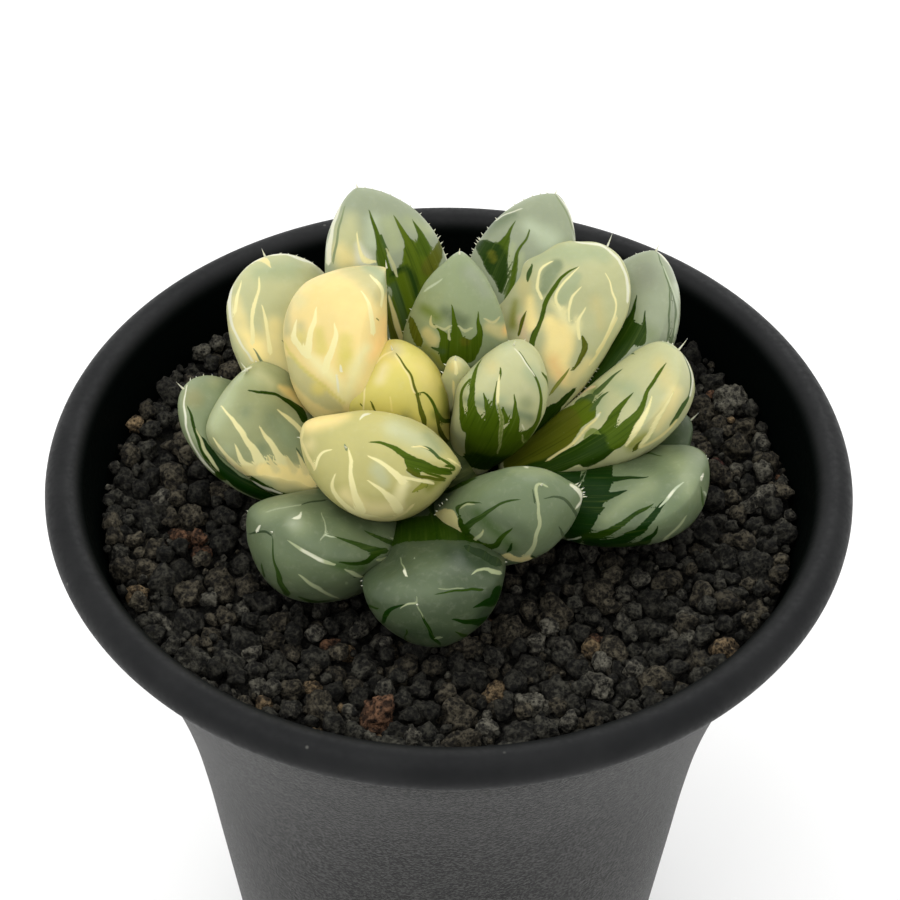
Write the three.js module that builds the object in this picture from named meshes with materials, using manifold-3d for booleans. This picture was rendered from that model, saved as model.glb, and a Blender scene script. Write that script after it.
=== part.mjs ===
// Potted haworthia: a rosette of thick window leaves in a round plastic pot filled with gravel.
// Millimetres, +Z up. The origin is the centre of the pot's foot, on the surface that it stands on.
import * as THREE from 'three';
import { mergeVertices } from 'three/addons/utils/BufferGeometryUtils.js';
import Module from 'manifold-3d';

const wasm = await Module();
wasm.setup();

// Pot
const LIP_BEAD_RADIUS = 2.2;
const LIP_RING_RADIUS = 42.8;
const LIP_HEIGHT = 89.8;
const WALL_THICKNESS = 1.5;
const FOOT_RING_WIDTH = 3;
const FOOT_RECESS = 1.2;
const FLOOR_THICKNESS = 1.8;
const POT_SIDES = 40;
const BEAD_STEPS = 9;
const CENTRE_HOLE_RADIUS = 4.5;
const OUTER_HOLE_RADIUS = 2.8;
const OUTER_HOLE_CIRCLE = 15;
const OUTER_HOLES = 6;
const HOLE_SIDES = 12;
// Outside of the wall as [radius, height], from the foot to just under the lip
const WALL_OUTSIDE = [
  [24.8, 0], [25.1, 0.6], [26.3, 15], [28.7, 35], [29.9, 45],
  [31.5, 55], [33.9, 65], [37.2, 75], [41, 85], [41.6, 87],
];

// Soil
const CLEARANCE = 0.3;
const SOIL_EDGE_HEIGHT = 85.5;
const SOIL_MIDDLE_HEIGHT = 83.3;
const DISH_EDGE_RADIUS = 36;
const DISH_FLOOR_RADIUS = 24;
const BED_DEPTH = 1;
const STONE_SPACING = 5.8;
const STONE_RADIUS_MIN = 2.5;
const STONE_RADIUS_MAX = 3.6;
const STONE_BLOCK_SHARE = 1.4;
const STONE_INNER_LIMIT = 14;
const STONE_OUTER_LIMIT = 37.4;
const STONE_SINK = 0.6;
const STONE_ROUGHNESS = 0.32;
const STONE_COVERED_SHARE = 0.3;
const STONE_JITTER = 1.2;
const STONE_FLATTENING = 0.2;
const GRAVEL_SEED = 20;

// Stem
const STEM_RADIUS = 4.8;
const STEM_TOP_RADIUS = 2.5;
const STEM_BOTTOM = 77.8;
const STEM_SHOULDER = 84.3;
const STEM_TOP = 93.8;
const STEM_CROWN = 0.4;
const STEM_SIDES = 16;

// Leaves
const LEAF_SIDES = 12;
const LEAF_ROWS = 8;
const LEAF_GAP = 0.45;
const BRISTLE_RADIUS = 0.4;
const BRISTLE_LENGTH = 1.9;
const BRISTLE_SUNK = 0.5;
const BRISTLE_LIFT = 0.5;
const BRISTLE_SIDES = 5;
// Exponents and shares of the leaf's curves
const ROW_CROWDING = 0.92;
const NECK_SWELL = 1.3;
const ARCH_FULLNESS = 1.25;
const KEEL_FULLNESS = 1.75;
const THICKEST_AT = 0.55;
const BASE_THICKNESS_SHARE = 0.55;
const THICKNESS_ROUND = 1.9;
const FACING_LIFT = 0.35;
const LEAF_SHAPE = {
  width: 12, top: 3.2, keel: 6, bow: -2.5, roll: 0, widest: 0.62, neck: 0.38,
  end: 2.3, side: 0, round: 1.9, faces: null, sideShift: 0, liftShift: 0,
};
const GREEN = 0x7f927c;
const CREAM = 0xd9d3a0;
const PALE_STEM = 0xc9c48f;
const DARK_GRAVEL = 0x3a332e;
const BLACK_PLASTIC = 0x2b2c2d;
// The leaves from the heart of the rosette outwards. Each later leaf is cut clear of the ones before it.
// base and tip are the ends of the leaf's middle line, faces is the bearing that an upright leaf faces,
// bow bends the middle line, and sideShift and liftShift move the body of the leaf off that line.
const LEAVES = {
  leaf_bud: {
    base: [0.3, 2.6, 93.1], tip: [0.5, 2.3, 104.6], width: 4.5, top: 1.4, keel: 2.2,
    faces: 90, bow: -0.6, round: 1.5, colour: CREAM,
  },
  leaf_heart_left: {
    base: [-1, 2, 92.1], tip: [-6.3, 3.2, 105.1], width: 11.5, top: 4, keel: 7,
    faces: 172, bow: -1.5, round: 2, roll: -22, liftShift: 0.3, colour: CREAM,
  },
  leaf_heart_right: {
    base: [1.5, 1, 91.1], tip: [6.9, 3.1, 106.1], width: 12, top: 3.5, keel: 5.5,
    faces: 5, bow: -1.5, round: 2, roll: 32, colour: GREEN,
  },
  leaf_inner_front_left: {
    base: [-2.2, -1, 92.6], tip: [-10.9, -11, 104], width: 16.8, top: 4.6, keel: 7.2,
    bow: -1.2, end: 2.6, roll: -20, liftShift: 0.4, colour: CREAM,
  },
  leaf_inner_front_right: {
    base: [-1, -4.5, 88.1], tip: [9.7, -14.5, 102.2], width: 13.2, top: 4.3, keel: 6,
    bow: -3, roll: 30, sideShift: -1.4, colour: GREEN,
  },
  leaf_inner_left: {
    base: [-3, 3, 89.1], tip: [-7.1, 12.2, 109.1], width: 16, top: 3.9, keel: 7.5,
    faces: 160, bow: -5, end: 2.8, round: 2.3, sideShift: -1, liftShift: -3, roll: -32, colour: CREAM,
  },
  leaf_inner_right: {
    base: [4.5, 4, 89.1], tip: [17.5, 18.5, 107.2], width: 14.8, top: 3, keel: 6,
    side: -0.5, sideShift: -1.3, round: 2.2, end: 2.8, faces: 62, colour: CREAM,
  },
  leaf_inner_back: {
    base: [0, 4.5, 90.1], tip: [0.9, 12.3, 111.1], width: 12, top: 3, keel: 5,
    widest: 0.45, round: 1.2, end: 2, colour: GREEN,
  },
  leaf_right: {
    base: [6, 0, 89.1], tip: [25.2, 6.7, 102.3], width: 13, top: 2.2, keel: 6.5,
    side: 0.6, roll: 15, end: 3.4, colour: CREAM,
  },
  leaf_left: {
    base: [-4.5, 0, 88.6], tip: [-22, 5.2, 100.9], width: 15.5, top: 4, keel: 4.6, side: -1,
    bow: -4.5, end: 4.2, round: 2.5, sideShift: -0.6, liftShift: -3, colour: GREEN,
  },
  leaf_front: {
    base: [-2.4, -2.8, 89.1], tip: [-3.2, -25.2, 95.1], width: 15.5, top: 3.8, keel: 8,
    end: 2.8, sideShift: -1.2, roll: -8, colour: GREEN,
  },
  leaf_front_left: {
    base: [-4.5, -2.5, 88.1], tip: [-18.8, -15.3, 95.5], width: 16.4, top: 3.6, keel: 8,
    bow: -3, end: 2.8, roll: -12, liftShift: -0.1, colour: GREEN,
  },
  leaf_front_right: {
    base: [6, -2, 89.1], tip: [27.4, -6.7, 95.8], width: 19, top: 3.5, keel: 5.5,
    end: 3.6, round: 2.1, bow: -1.5, liftShift: -1.4, sideShift: -2, roll: 18, colour: GREEN,
  },
  leaf_back_far_left: {
    base: [-6.5, 5.5, 87.1], tip: [-21.1, 19.9, 104], width: 15.8, top: 3.5, keel: 7,
    side: -2.5, bow: -3.5, round: 2.1, colour: CREAM,
  },
  leaf_back_far_right: {
    base: [6, 4, 87.1], tip: [23.4, 22.4, 103.3], width: 14, top: 2.6, keel: 8,
    bow: -4, side: 0.5, round: 1.4, roll: 15, colour: GREEN,
  },
  leaf_back_left: {
    base: [-0.6, 8, 87.1], tip: [-10.7, 25, 110], width: 15, sideShift: 0.5,
    round: 1.35, end: 2.2, colour: GREEN,
  },
  leaf_back_right: {
    base: [1.2, 8, 87.1], tip: [11.7, 24, 110.2], width: 12.8, sideShift: -1,
    round: 1.4, end: 2.2, colour: GREEN,
  },
  leaf_outer_left: {
    base: [-6, 2.5, 84.6], tip: [-29.7, 5.4, 96.9], width: 14.4, top: 2.6, keel: 4.6,
    bow: -5, side: -1, colour: GREEN,
  },
  leaf_outer_right: {
    base: [7, 1, 84.8], tip: [27.2, 6, 92.3], width: 11, top: 2, keel: 3.2,
    bow: -3, round: 1.8, colour: GREEN,
  },
  leaf_outer_back: {
    base: [0.5, 7, 87.1], tip: [1.3, 30.8, 93.6], top: 3, keel: 4.2,
    bow: -2, round: 1.6, colour: GREEN,
  },
  leaf_outer_back_left: {
    base: [-4, 6.5, 87.1], tip: [-18.7, 28, 94.5], top: 3, keel: 4.2,
    bow: -2, round: 1.6, colour: GREEN,
  },
  leaf_outer_back_right: {
    base: [4.5, 6.5, 87.1], tip: [16.5, 29.7, 94.7], top: 3, keel: 4.2,
    bow: -2, round: 1.6, colour: GREEN,
  },
};

const UP = new THREE.Vector3(0, 0, 1);

// Repeatable random numbers between 0 and 1
function makeRandom(seed) {
  let state = seed;
  return () => {
    state = (state * 1664525 + 1013904223) % 4294967296;
    return state / 4294967296;
  };
}

// Joins the shared corners of a closed geometry, leaving positions only
function weld(geometry) {
  geometry.deleteAttribute('normal');
  geometry.deleteAttribute('uv');
  return mergeVertices(geometry, 1e-3);
}

function toSolid(geometry) {
  const welded = weld(geometry.clone());
  return new wasm.Manifold(new wasm.Mesh({
    numProp: 3,
    vertProperties: new Float32Array(welded.attributes.position.array),
    triVerts: new Uint32Array(welded.index.array),
  }));
}

function toGeometry(solid) {
  const mesh = solid.getMesh();
  const geometry = new THREE.BufferGeometry();
  geometry.setAttribute('position', new THREE.BufferAttribute(mesh.vertProperties, 3));
  geometry.setIndex(new THREE.BufferAttribute(mesh.triVerts, 1));
  return geometry;
}

// Turns a profile of [radius, height] points about the Z axis
function turned(profile, sides) {
  const points = profile.map(([radius, height]) => new THREE.Vector2(radius, height));
  return new THREE.LatheGeometry(points, sides).rotateX(Math.PI / 2);
}

function uprightCylinder(radius, bottom, top, sides) {
  return turned([[0, bottom], [radius, bottom], [radius, top], [0, top]], sides);
}

// Every corner moved outwards along its normal
function inflated(geometry, distance) {
  const skin = weld(geometry.clone());
  skin.computeVertexNormals();
  const position = skin.attributes.position;
  const normal = skin.attributes.normal;
  for (let i = 0; i < position.count; i += 1) {
    position.setXYZ(
      i,
      position.getX(i) + normal.getX(i) * distance,
      position.getY(i) + normal.getY(i) * distance,
      position.getZ(i) + normal.getZ(i) * distance,
    );
  }
  return skin;
}

function largestPiece(solid) {
  const pieces = solid.decompose();
  return pieces.reduce((best, piece) => (piece.volume() > best.volume() ? piece : best));
}

// Radius of the inside of the pot's wall at a height
function innerRadius(height) {
  const above = WALL_OUTSIDE.findIndex(([, level]) => level >= height);
  const [lowRadius, low] = WALL_OUTSIDE[above - 1];
  const [highRadius, high] = WALL_OUTSIDE[above];
  const share = (height - low) / (high - low);
  return lowRadius + (highRadius - lowRadius) * share - WALL_THICKNESS;
}

function makePot() {
  const bead = [];
  for (let i = 0; i <= BEAD_STEPS; i += 1) {
    const angle = -Math.PI / 2 + (i / BEAD_STEPS) * Math.PI * 1.5;
    bead.push([
      LIP_RING_RADIUS + LIP_BEAD_RADIUS * Math.cos(angle),
      LIP_HEIGHT + LIP_BEAD_RADIUS * Math.sin(angle),
    ]);
  }
  const floorTop = FOOT_RECESS + FLOOR_THICKNESS;
  const inside = WALL_OUTSIDE
    .filter(([, height]) => height > floorTop && height < SOIL_EDGE_HEIGHT)
    .map(([radius, height]) => [radius - WALL_THICKNESS, height])
    .reverse();
  const footInner = WALL_OUTSIDE[0][0] - FOOT_RING_WIDTH;
  const shell = toSolid(turned([
    [0, FOOT_RECESS],
    [footInner - FOOT_RECESS, FOOT_RECESS],
    [footInner, 0],
    ...WALL_OUTSIDE,
    ...bead,
    [innerRadius(SOIL_EDGE_HEIGHT), SOIL_EDGE_HEIGHT],
    ...inside,
    [innerRadius(floorTop), floorTop],
    [0, floorTop],
  ], POT_SIDES));
  const holes = [uprightCylinder(CENTRE_HOLE_RADIUS, -1, floorTop + 1, HOLE_SIDES)];
  for (let i = 0; i < OUTER_HOLES; i += 1) {
    const bearing = (i / OUTER_HOLES) * Math.PI * 2;
    const hole = uprightCylinder(OUTER_HOLE_RADIUS, -1, floorTop + 1, HOLE_SIDES);
    hole.translate(OUTER_HOLE_CIRCLE * Math.cos(bearing), OUTER_HOLE_CIRCLE * Math.sin(bearing), 0);
    holes.push(hole);
  }
  return holes.reduce((solid, hole) => solid.subtract(toSolid(hole)), shell);
}

function stemProfile(grow) {
  return [
    [0, STEM_BOTTOM - grow],
    [STEM_RADIUS + grow, STEM_BOTTOM - grow],
    [STEM_RADIUS + grow, STEM_SHOULDER],
    [STEM_TOP_RADIUS + grow, STEM_TOP],
    [0, STEM_TOP + STEM_CROWN + grow],
  ];
}

// Half width and half thickness of a leaf along its length, from 0 at the base to 1 at the tip
function outline(along, widest, neck, end, round) {
  if (along < widest) {
    return neck + (1 - neck) * Math.sin((Math.PI / 2) * (along / widest)) ** NECK_SWELL;
  }
  const past = (along - widest) / (1 - widest);
  return Math.max(1 - past ** end, 0) ** (1 / round);
}

// How much of its shift off the middle line a leaf has at a place along its length
function shiftShare(along, shape) {
  if (along < shape.widest) {
    return Math.sin((Math.PI / 2) * (along / shape.widest)) ** 2;
  }
  return outline(along, shape.widest, 0, shape.end, shape.round);
}

// The leaf's own axes: along its length, across it and out of its upper face
function leafAxes(shape) {
  const base = new THREE.Vector3(...shape.base);
  const tip = new THREE.Vector3(...shape.tip);
  const along = tip.clone().sub(base).normalize();
  const facing = UP.clone();
  if (shape.faces !== null) {
    const bearing = THREE.MathUtils.degToRad(shape.faces);
    facing.set(-Math.cos(bearing), -Math.sin(bearing), FACING_LIFT);
  }
  const across = along.clone().cross(facing).normalize();
  across.applyAxisAngle(along, -THREE.MathUtils.degToRad(shape.roll));
  const out = across.clone().cross(along);
  return { base, tip, along, across, out };
}

// A sphere's grid drawn out along the leaf's middle line: a low arch above and a keel below
function leafBody(shape) {
  const { base, tip, across, out } = leafAxes(shape);
  const middle = base.clone().add(tip).multiplyScalar(0.5);
  middle.addScaledVector(out, shape.bow).addScaledVector(across, shape.side);
  const line = new THREE.QuadraticBezierCurve3(base, middle, tip);
  const geometry = new THREE.SphereGeometry(1, LEAF_SIDES, LEAF_ROWS + 1);
  const position = geometry.attributes.position;
  const grid = geometry.attributes.uv;
  for (let i = 0; i < position.count; i += 1) {
    const row = Math.round(grid.getY(i) * (LEAF_ROWS + 1));
    if (row === 0) {
      position.setXYZ(i, base.x, base.y, base.z);
      continue;
    }
    const along = Math.sin(((row - 1) / LEAF_ROWS) * (Math.PI / 2)) ** ROW_CROWDING;
    const centre = line.getPoint(along);
    const heading = line.getTangent(along);
    const sideways = across.clone().addScaledVector(heading, -across.dot(heading)).normalize();
    const outwards = sideways.clone().cross(heading);
    const shift = shiftShare(along, shape);
    centre.addScaledVector(across, shape.sideShift * shift);
    centre.addScaledVector(out, shape.liftShift * shift);
    const halfWidth = (shape.width / 2) * outline(along, shape.widest, shape.neck, shape.end, shape.round);
    const depth = outline(along, THICKEST_AT, BASE_THICKNESS_SHARE, shape.end, THICKNESS_ROUND);
    const turn = 4 * grid.getX(i) - 1;
    let x;
    let z;
    if (turn <= 1) {
      const angle = turn * (Math.PI / 2);
      x = halfWidth * Math.sin(angle);
      z = shape.top * depth * Math.abs(Math.cos(angle)) ** ARCH_FULLNESS;
    } else {
      const angle = (turn - 1) * (Math.PI / 2);
      const flat = Math.abs(Math.cos(angle)) ** KEEL_FULLNESS;
      const deep = Math.abs(Math.sin(angle)) ** KEEL_FULLNESS;
      const reach = (flat + deep) ** (-1 / KEEL_FULLNESS);
      x = halfWidth * Math.cos(angle) * reach;
      z = -shape.keel * depth * Math.sin(angle) * reach;
    }
    centre.addScaledVector(sideways, x).addScaledVector(outwards, z);
    position.setXYZ(i, centre.x, centre.y, centre.z);
  }
  return geometry;
}

// The stiff hair at the end of a leaf, turned up a little from the leaf's own direction
function bristle(shape) {
  const { tip, along } = leafAxes(shape);
  const heading = along.clone().addScaledVector(UP, BRISTLE_LIFT).normalize();
  const cone = new THREE.ConeGeometry(BRISTLE_RADIUS, BRISTLE_LENGTH, BRISTLE_SIDES);
  cone.translate(0, BRISTLE_LENGTH / 2 - BRISTLE_SUNK, 0);
  cone.applyQuaternion(new THREE.Quaternion().setFromUnitVectors(new THREE.Vector3(0, 1, 0), heading));
  return cone.translate(tip.x, tip.y, tip.z);
}

// Height of the gravel, a shallow dish that is lowest under the rosette
function soilHeight(radius) {
  const share = (radius - DISH_FLOOR_RADIUS) / (DISH_EDGE_RADIUS - DISH_FLOOR_RADIUS);
  return THREE.MathUtils.lerp(SOIL_MIDDLE_HEIGHT, SOIL_EDGE_HEIGHT, THREE.MathUtils.clamp(share, 0, 1));
}

// A rough stone: a block with its corners pushed in and out, lying any way up
function stone(radius, random) {
  const side = radius * STONE_BLOCK_SHARE;
  const geometry = weld(new THREE.BoxGeometry(side, side, side));
  const position = geometry.attributes.position;
  for (let i = 0; i < position.count; i += 1) {
    const scale = 1 + STONE_ROUGHNESS * (random() - 0.5);
    position.setXYZ(i, position.getX(i) * scale, position.getY(i) * scale, position.getZ(i) * scale);
  }
  geometry.scale(1, 1 - STONE_FLATTENING * random(), 1 - STONE_FLATTENING * random());
  const lie = new THREE.Quaternion(random() - 0.5, random() - 0.5, random() - 0.5, random() - 0.5);
  geometry.applyQuaternion(lie.normalize());
  return geometry;
}

// Stones laid on a spiral, jittered, and left out where a leaf lies on them
function makeSoil(leafClearance, stemClearance) {
  const floor = FOOT_RECESS + FLOOR_THICKNESS + CLEARANCE;
  const wall = WALL_OUTSIDE
    .filter(([, height]) => height > floor && height < SOIL_EDGE_HEIGHT - BED_DEPTH)
    .map(([radius, height]) => [radius - WALL_THICKNESS - CLEARANCE, height]);
  const rim = SOIL_EDGE_HEIGHT - BED_DEPTH;
  let solid = toSolid(turned([
    [0, floor],
    [innerRadius(floor) - CLEARANCE, floor],
    ...wall,
    [innerRadius(rim) - CLEARANCE, rim],
    [DISH_EDGE_RADIUS, rim],
    [DISH_FLOOR_RADIUS, SOIL_MIDDLE_HEIGHT - BED_DEPTH],
    [0, SOIL_MIDDLE_HEIGHT - BED_DEPTH],
  ], POT_SIDES));
  const random = makeRandom(GRAVEL_SEED);
  const goldenAngle = Math.PI * (3 - Math.sqrt(5));
  const count = Math.round(Math.PI * (STONE_OUTER_LIMIT / STONE_SPACING) ** 2);
  const stones = [];
  for (let i = 0; i < count; i += 1) {
    const ring = STONE_OUTER_LIMIT * Math.sqrt((i + 0.5) / count);
    const bearing = i * goldenAngle;
    const x = ring * Math.cos(bearing) + (random() - 0.5) * STONE_JITTER;
    const y = ring * Math.sin(bearing) + (random() - 0.5) * STONE_JITTER;
    const fromAxis = Math.hypot(x, y);
    const room = innerRadius(SOIL_EDGE_HEIGHT) - CLEARANCE - fromAxis;
    const wanted = STONE_RADIUS_MIN + (STONE_RADIUS_MAX - STONE_RADIUS_MIN) * random();
    const radius = Math.min(wanted, room / (1 + STONE_ROUGHNESS / 2));
    const geometry = stone(radius, random);
    geometry.translate(x, y, soilHeight(fromAxis) - STONE_SINK * (0.4 + random()));
    if (fromAxis < STONE_INNER_LIMIT || radius < STONE_RADIUS_MIN / 2) {
      continue;
    }
    const lump = toSolid(geometry);
    if (lump.intersect(leafClearance).volume() < STONE_COVERED_SHARE * lump.volume()) {
      stones.push(lump);
    }
  }
  for (const lump of stones) {
    solid = solid.add(lump);
  }
  return largestPiece(solid.subtract(leafClearance).subtract(stemClearance));
}

const group = new THREE.Group();

function addPart(name, solid, colour, roughness) {
  const material = new THREE.MeshStandardMaterial({ color: colour, roughness, metalness: 0 });
  const mesh = new THREE.Mesh(toGeometry(solid), material);
  mesh.name = name;
  group.add(mesh);
}

const stem = toSolid(turned(stemProfile(0), STEM_SIDES));
const stemClearance = toSolid(turned(stemProfile(CLEARANCE), STEM_SIDES));
addPart('stem', stem, PALE_STEM, 0.6);

let taken = stemClearance;
for (const [name, values] of Object.entries(LEAVES)) {
  const shape = { ...LEAF_SHAPE, ...values };
  const body = leafBody(shape);
  const whole = toSolid(body).add(toSolid(bristle(shape)));
  addPart(name, largestPiece(whole.subtract(taken)), shape.colour, 0.45);
  taken = taken.add(toSolid(inflated(body, LEAF_GAP)));
}

addPart('soil', makeSoil(taken, stemClearance), DARK_GRAVEL, 0.95);
addPart('pot', makePot(), BLACK_PLASTIC, 0.5);

export default group;
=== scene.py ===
"""A potted haworthia: thick striped window leaves in a round plastic pot of dark porous gravel.

Lengths are millimetres, and they become metres where a mesh or the camera is made. Distances in the
materials and on the stage are metres.
Places given in pixels are in the photograph's 900 by 900 frame, as (x, y) from its top left corner.
"""

import math

import bmesh
import bpy
import numpy as np
from mathutils import Matrix, Vector
from mathutils.bvhtree import BVHTree


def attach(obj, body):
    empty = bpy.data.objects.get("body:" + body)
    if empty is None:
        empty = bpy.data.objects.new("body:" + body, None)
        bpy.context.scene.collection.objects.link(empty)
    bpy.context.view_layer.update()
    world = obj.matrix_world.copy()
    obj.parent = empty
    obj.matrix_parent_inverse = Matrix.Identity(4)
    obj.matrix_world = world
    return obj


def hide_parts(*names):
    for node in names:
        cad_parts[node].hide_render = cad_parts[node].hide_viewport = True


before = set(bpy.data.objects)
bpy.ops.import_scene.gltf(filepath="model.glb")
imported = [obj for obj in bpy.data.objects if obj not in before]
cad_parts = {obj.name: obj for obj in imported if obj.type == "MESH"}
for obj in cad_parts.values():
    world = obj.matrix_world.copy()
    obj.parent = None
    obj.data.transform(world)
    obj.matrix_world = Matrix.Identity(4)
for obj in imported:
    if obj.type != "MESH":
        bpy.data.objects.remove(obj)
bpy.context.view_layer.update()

MM = 0.001
# How much finer or coarser than its wavelength the single waves of a random field are
WAVE_SPREAD = (0.6, 1.6)

# Camera: it looks at the middle of the lip
PHOTO_SIZE = 900
LIP_HEIGHT = 89.8
CAMERA_ELEVATION = math.radians(44.74)
CAMERA_DISTANCE = 315
CAMERA_ROLL = math.radians(0.56)
FOCAL_PIXELS = 2814
AXIS_PIXEL = (449.1, 470.9)
SENSOR_WIDTH = 36
PIXEL = CAMERA_DISTANCE / FOCAL_PIXELS

SIN_E, COS_E = math.sin(CAMERA_ELEVATION), math.cos(CAMERA_ELEVATION)
CAMERA_PLACE = np.array([0, -CAMERA_DISTANCE * COS_E, LIP_HEIGHT + CAMERA_DISTANCE * SIN_E])
CAMERA_FORWARD = np.array([0, COS_E, -SIN_E])
CAMERA_UP = np.array([0, SIN_E, COS_E])
CAMERA_RIGHT = np.array([1.0, 0, 0])

# Strokes on the leaves: how far a stroke's colour reaches past its edge and where it is full inside
# it, and how much the stroke wanders, in pixels, with the wavelength in millimetres
COLOUR_BLEED = 2.2
COLOUR_FULL = 0.5
STROKE_WANDER = 0.35
WANDER_LENGTH = 2.6
# Steps of the smooth curve from one place of a stroke to the next
CURVE_STEPS = 3
# The farthest that a stroke's distance is kept, and about half the gap between mesh points
STROKE_LIMIT = 6
POINT_GAP = 0.13
# How square to the camera a leaf is where strokes begin to fade, and how fast they do
EDGE_FACING = 0.12
EDGE_FADE = 3
# Far from any stroke, in pixels
FAR_AWAY = 1e3
# Shares of the ground and the under colour on the sides that the photograph hides
GROUND_SHARE, UNDER_SHARE = 0.45, 0.55
# Keeps a division from being by nothing
TINY = 1e-9

# Pot
LIP_BEAD_RADIUS = 2.2
LIP_RING_RADIUS = 42.8
WALL_THICKNESS = 1.5
FOOT_RING_WIDTH = 3
FOOT_RECESS = 1.2
FLOOR_THICKNESS = 1.8
FLOOR_TOP = FOOT_RECESS + FLOOR_THICKNESS
POT_SIDES = 224
WALL_ROWS = 46
BEAD_STEPS = 34
RIM_ROWS = 10
INSIDE_BOTTOM = 15
HOLE_SIDES = 48
# The painted shade of the inside begins at this turn round the bead and is full so many degrees further
INSIDE_TURN = 115
INSIDE_BLEND = 45
CENTRE_HOLE_RADIUS = 4.5
OUTER_HOLE_RADIUS = 2.8
OUTER_HOLE_CIRCLE = 15
OUTER_HOLES = 6
# Outside of the wall as [radius, height], from the foot to just under the lip
WALL_OUTSIDE = np.array([
    [24.8, 0], [25.1, 0.6], [26.3, 15], [28.7, 35], [29.9, 45],
    [31.5, 55], [33.9, 65], [37.2, 75], [41, 85], [41.6, 87],
])
# A place of that line close above the foot
LOWER_WALL = [25.7, 7.5]

# Soil
CLEARANCE = 0.3
SOIL_EDGE_HEIGHT = 85.5
SOIL_MIDDLE_HEIGHT = 83.3
DISH_EDGE_RADIUS = 36
DISH_FLOOR_RADIUS = 24
BED_DEPTH = 1.9
BED_SIDES = 180
BED_ROWS = 56
BED_DARKNESS = 0.4
# Wavelength and height of the lumps of the bed, and how far they may reach down and up
BED_LUMPS = [(2.4, 0.3), (1.3, 0.2)]
BED_LUMP_LIMITS = (-0.6, 0.5)
BED_SEED = 5

# Stones: each try looks at random places near the first one, and takes the lowest that is free
GRAVEL_SEED = 7
ROLL_TRIES = 24
# How close stones lie and how high on the bed and off the leaves, as shares of their radii
STONE_CLOSENESS = 0.93
STONE_ON_BED = 0.35
STONE_TO_LEAF = 1.05
STONE_TO_WALL = 0.2
WALL_TOP = 86.9
NEAREST_TO_AXIS = 5.5
FARTHEST_FROM_AXIS = 39.5
INNERMOST_SHARE = 0.02
NAMED_STONE_LIFT = 0.2
NAMED_STONE_ROLL = 0.4
NAMED_STONE_CEILING = 3.0
LOOSE_STONE_ROLL = 2.2
# Number of tries, smallest and largest radius, and how far a stone may stand above the soil
STONE_KINDS = [(3600, 1.1, 2.1, 1.35), (2400, 0.75, 1.1, 0.5), (2600, 0.4, 0.75, 0.05)]
STONE_SMALLNESS = 1.6
TINT_CHANCES = {"dark": 0.59, "brown": 0.26, "grey": 0.125, "tan": 0.015, "rust": 0.01}
TINT_SPREAD = (0.6, 1.35)
# Form of a stone with a radius of 1: wavelength and height of its lumps, its flat broken faces with
# their distance from the middle, and its squeeze
STONE_LUMPS = [(1.6, 0.13), (0.75, 0.075), (0.33, 0.04)]
LUMP_WAVES = 9
BROKEN_FACES = 5
BROKEN_LIMITS = (0.7, 0.95)
BROKEN_SHARE = 0.85
STONE_SQUEEZE = (0.78, 1.08)
# Stones near the stem or this far under the soil's top are hidden, and small or hidden ones are coarser
HIDDEN_FROM_AXIS = 13
HIDDEN_DEPTH = 0.3
SMALL_STONE = 0.9
LARGE_STONE = 1.95
STONE_PIECES = 5

# Stem
STEM_PROFILE = [[0, 77.8], [4.8, 77.8], [4.8, 84.3], [2.5, 93.8], [0, 94.2]]
STEM_SIDES = 48

# Stage
LIGHT_TARGET = (0, 0, 0.08)
# Place, size and power
LIGHTS = {"key": ((-0.24, -0.16, 0.78), 0.7, 1.4), "back": ((0.15, 0.5, 0.55), 0.4, 1.0)}
WORLD_STRENGTH = 1.08
FLOOR_REACH = 4

# Curves of a leaf's shape
ROW_CROWDING = 0.92
NECK_SWELL = 1.3
ARCH_FULLNESS = 1.25
KEEL_FULLNESS = 1.75
THICKEST_AT = 0.55
BASE_THICKNESS_SHARE = 0.55
THICKNESS_ROUND = 1.9
FACING_LIFT = 0.35
# Wavelength and height of the skin's fine relief, and the share of the length where it fades out
LEAF_RELIEF = [(6, 0.04), (2.6, 0.012)]
RELIEF_FADE = 0.08
# Looking from the skin to the camera: how far off the skin it starts, and how square it has to be
LOOK_LIFT = 0.1
LOOK_FACING = 0.05
UNSEEN_BLURS = 3
# A distance from the margins beyond which they get no painted glow
RIM_FAR = 5
# Teeth that the photograph shows, short hairs on the margins that it doesn't, and the tip's bristle
TOOTH_RADIUS = 0.12
TOOTH_LENGTHS = (0.7, 1.15)
TOOTH_LEAN = 0.3
TOOTH_SPREAD = 0.12
TOOTH_EDGE_WEIGHT = 45
HAIR_RADIUS = 0.09
HAIR_LENGTHS = (0.15, 0.4)
HAIR_LEAN = 0.4
HAIR_SPREAD = 0.15
HAIR_ROW_STEP = 5
HAIRLESS_TIP_ROWS = 6
HAIR_SUNK = 0.25
# Where along the leaf the hairs count as being
HAIR_PLACE = 0.9
BRISTLE_RADIUS = 0.13
BRISTLE_RISE = 0.5
BRISTLE_CURL = 0.15
# A direction that no hair has
ODD_HEADING = [0.3, 0.5, 0.81]
OCCLUDER_ROWS, OCCLUDER_COLUMNS = 24, 32
LEAF_SHAPE = dict(
    width=12, top=3.2, keel=6, bow=-2.5, roll=0, widest=0.62, neck=0.38, end=2.3, side=0,
    round=1.9, faces=None, sideShift=0, liftShift=0, columns=144, rows=98, bristle=1.3,
)
GREEN, CREAM = "leaf_green", "leaf_cream"
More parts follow.
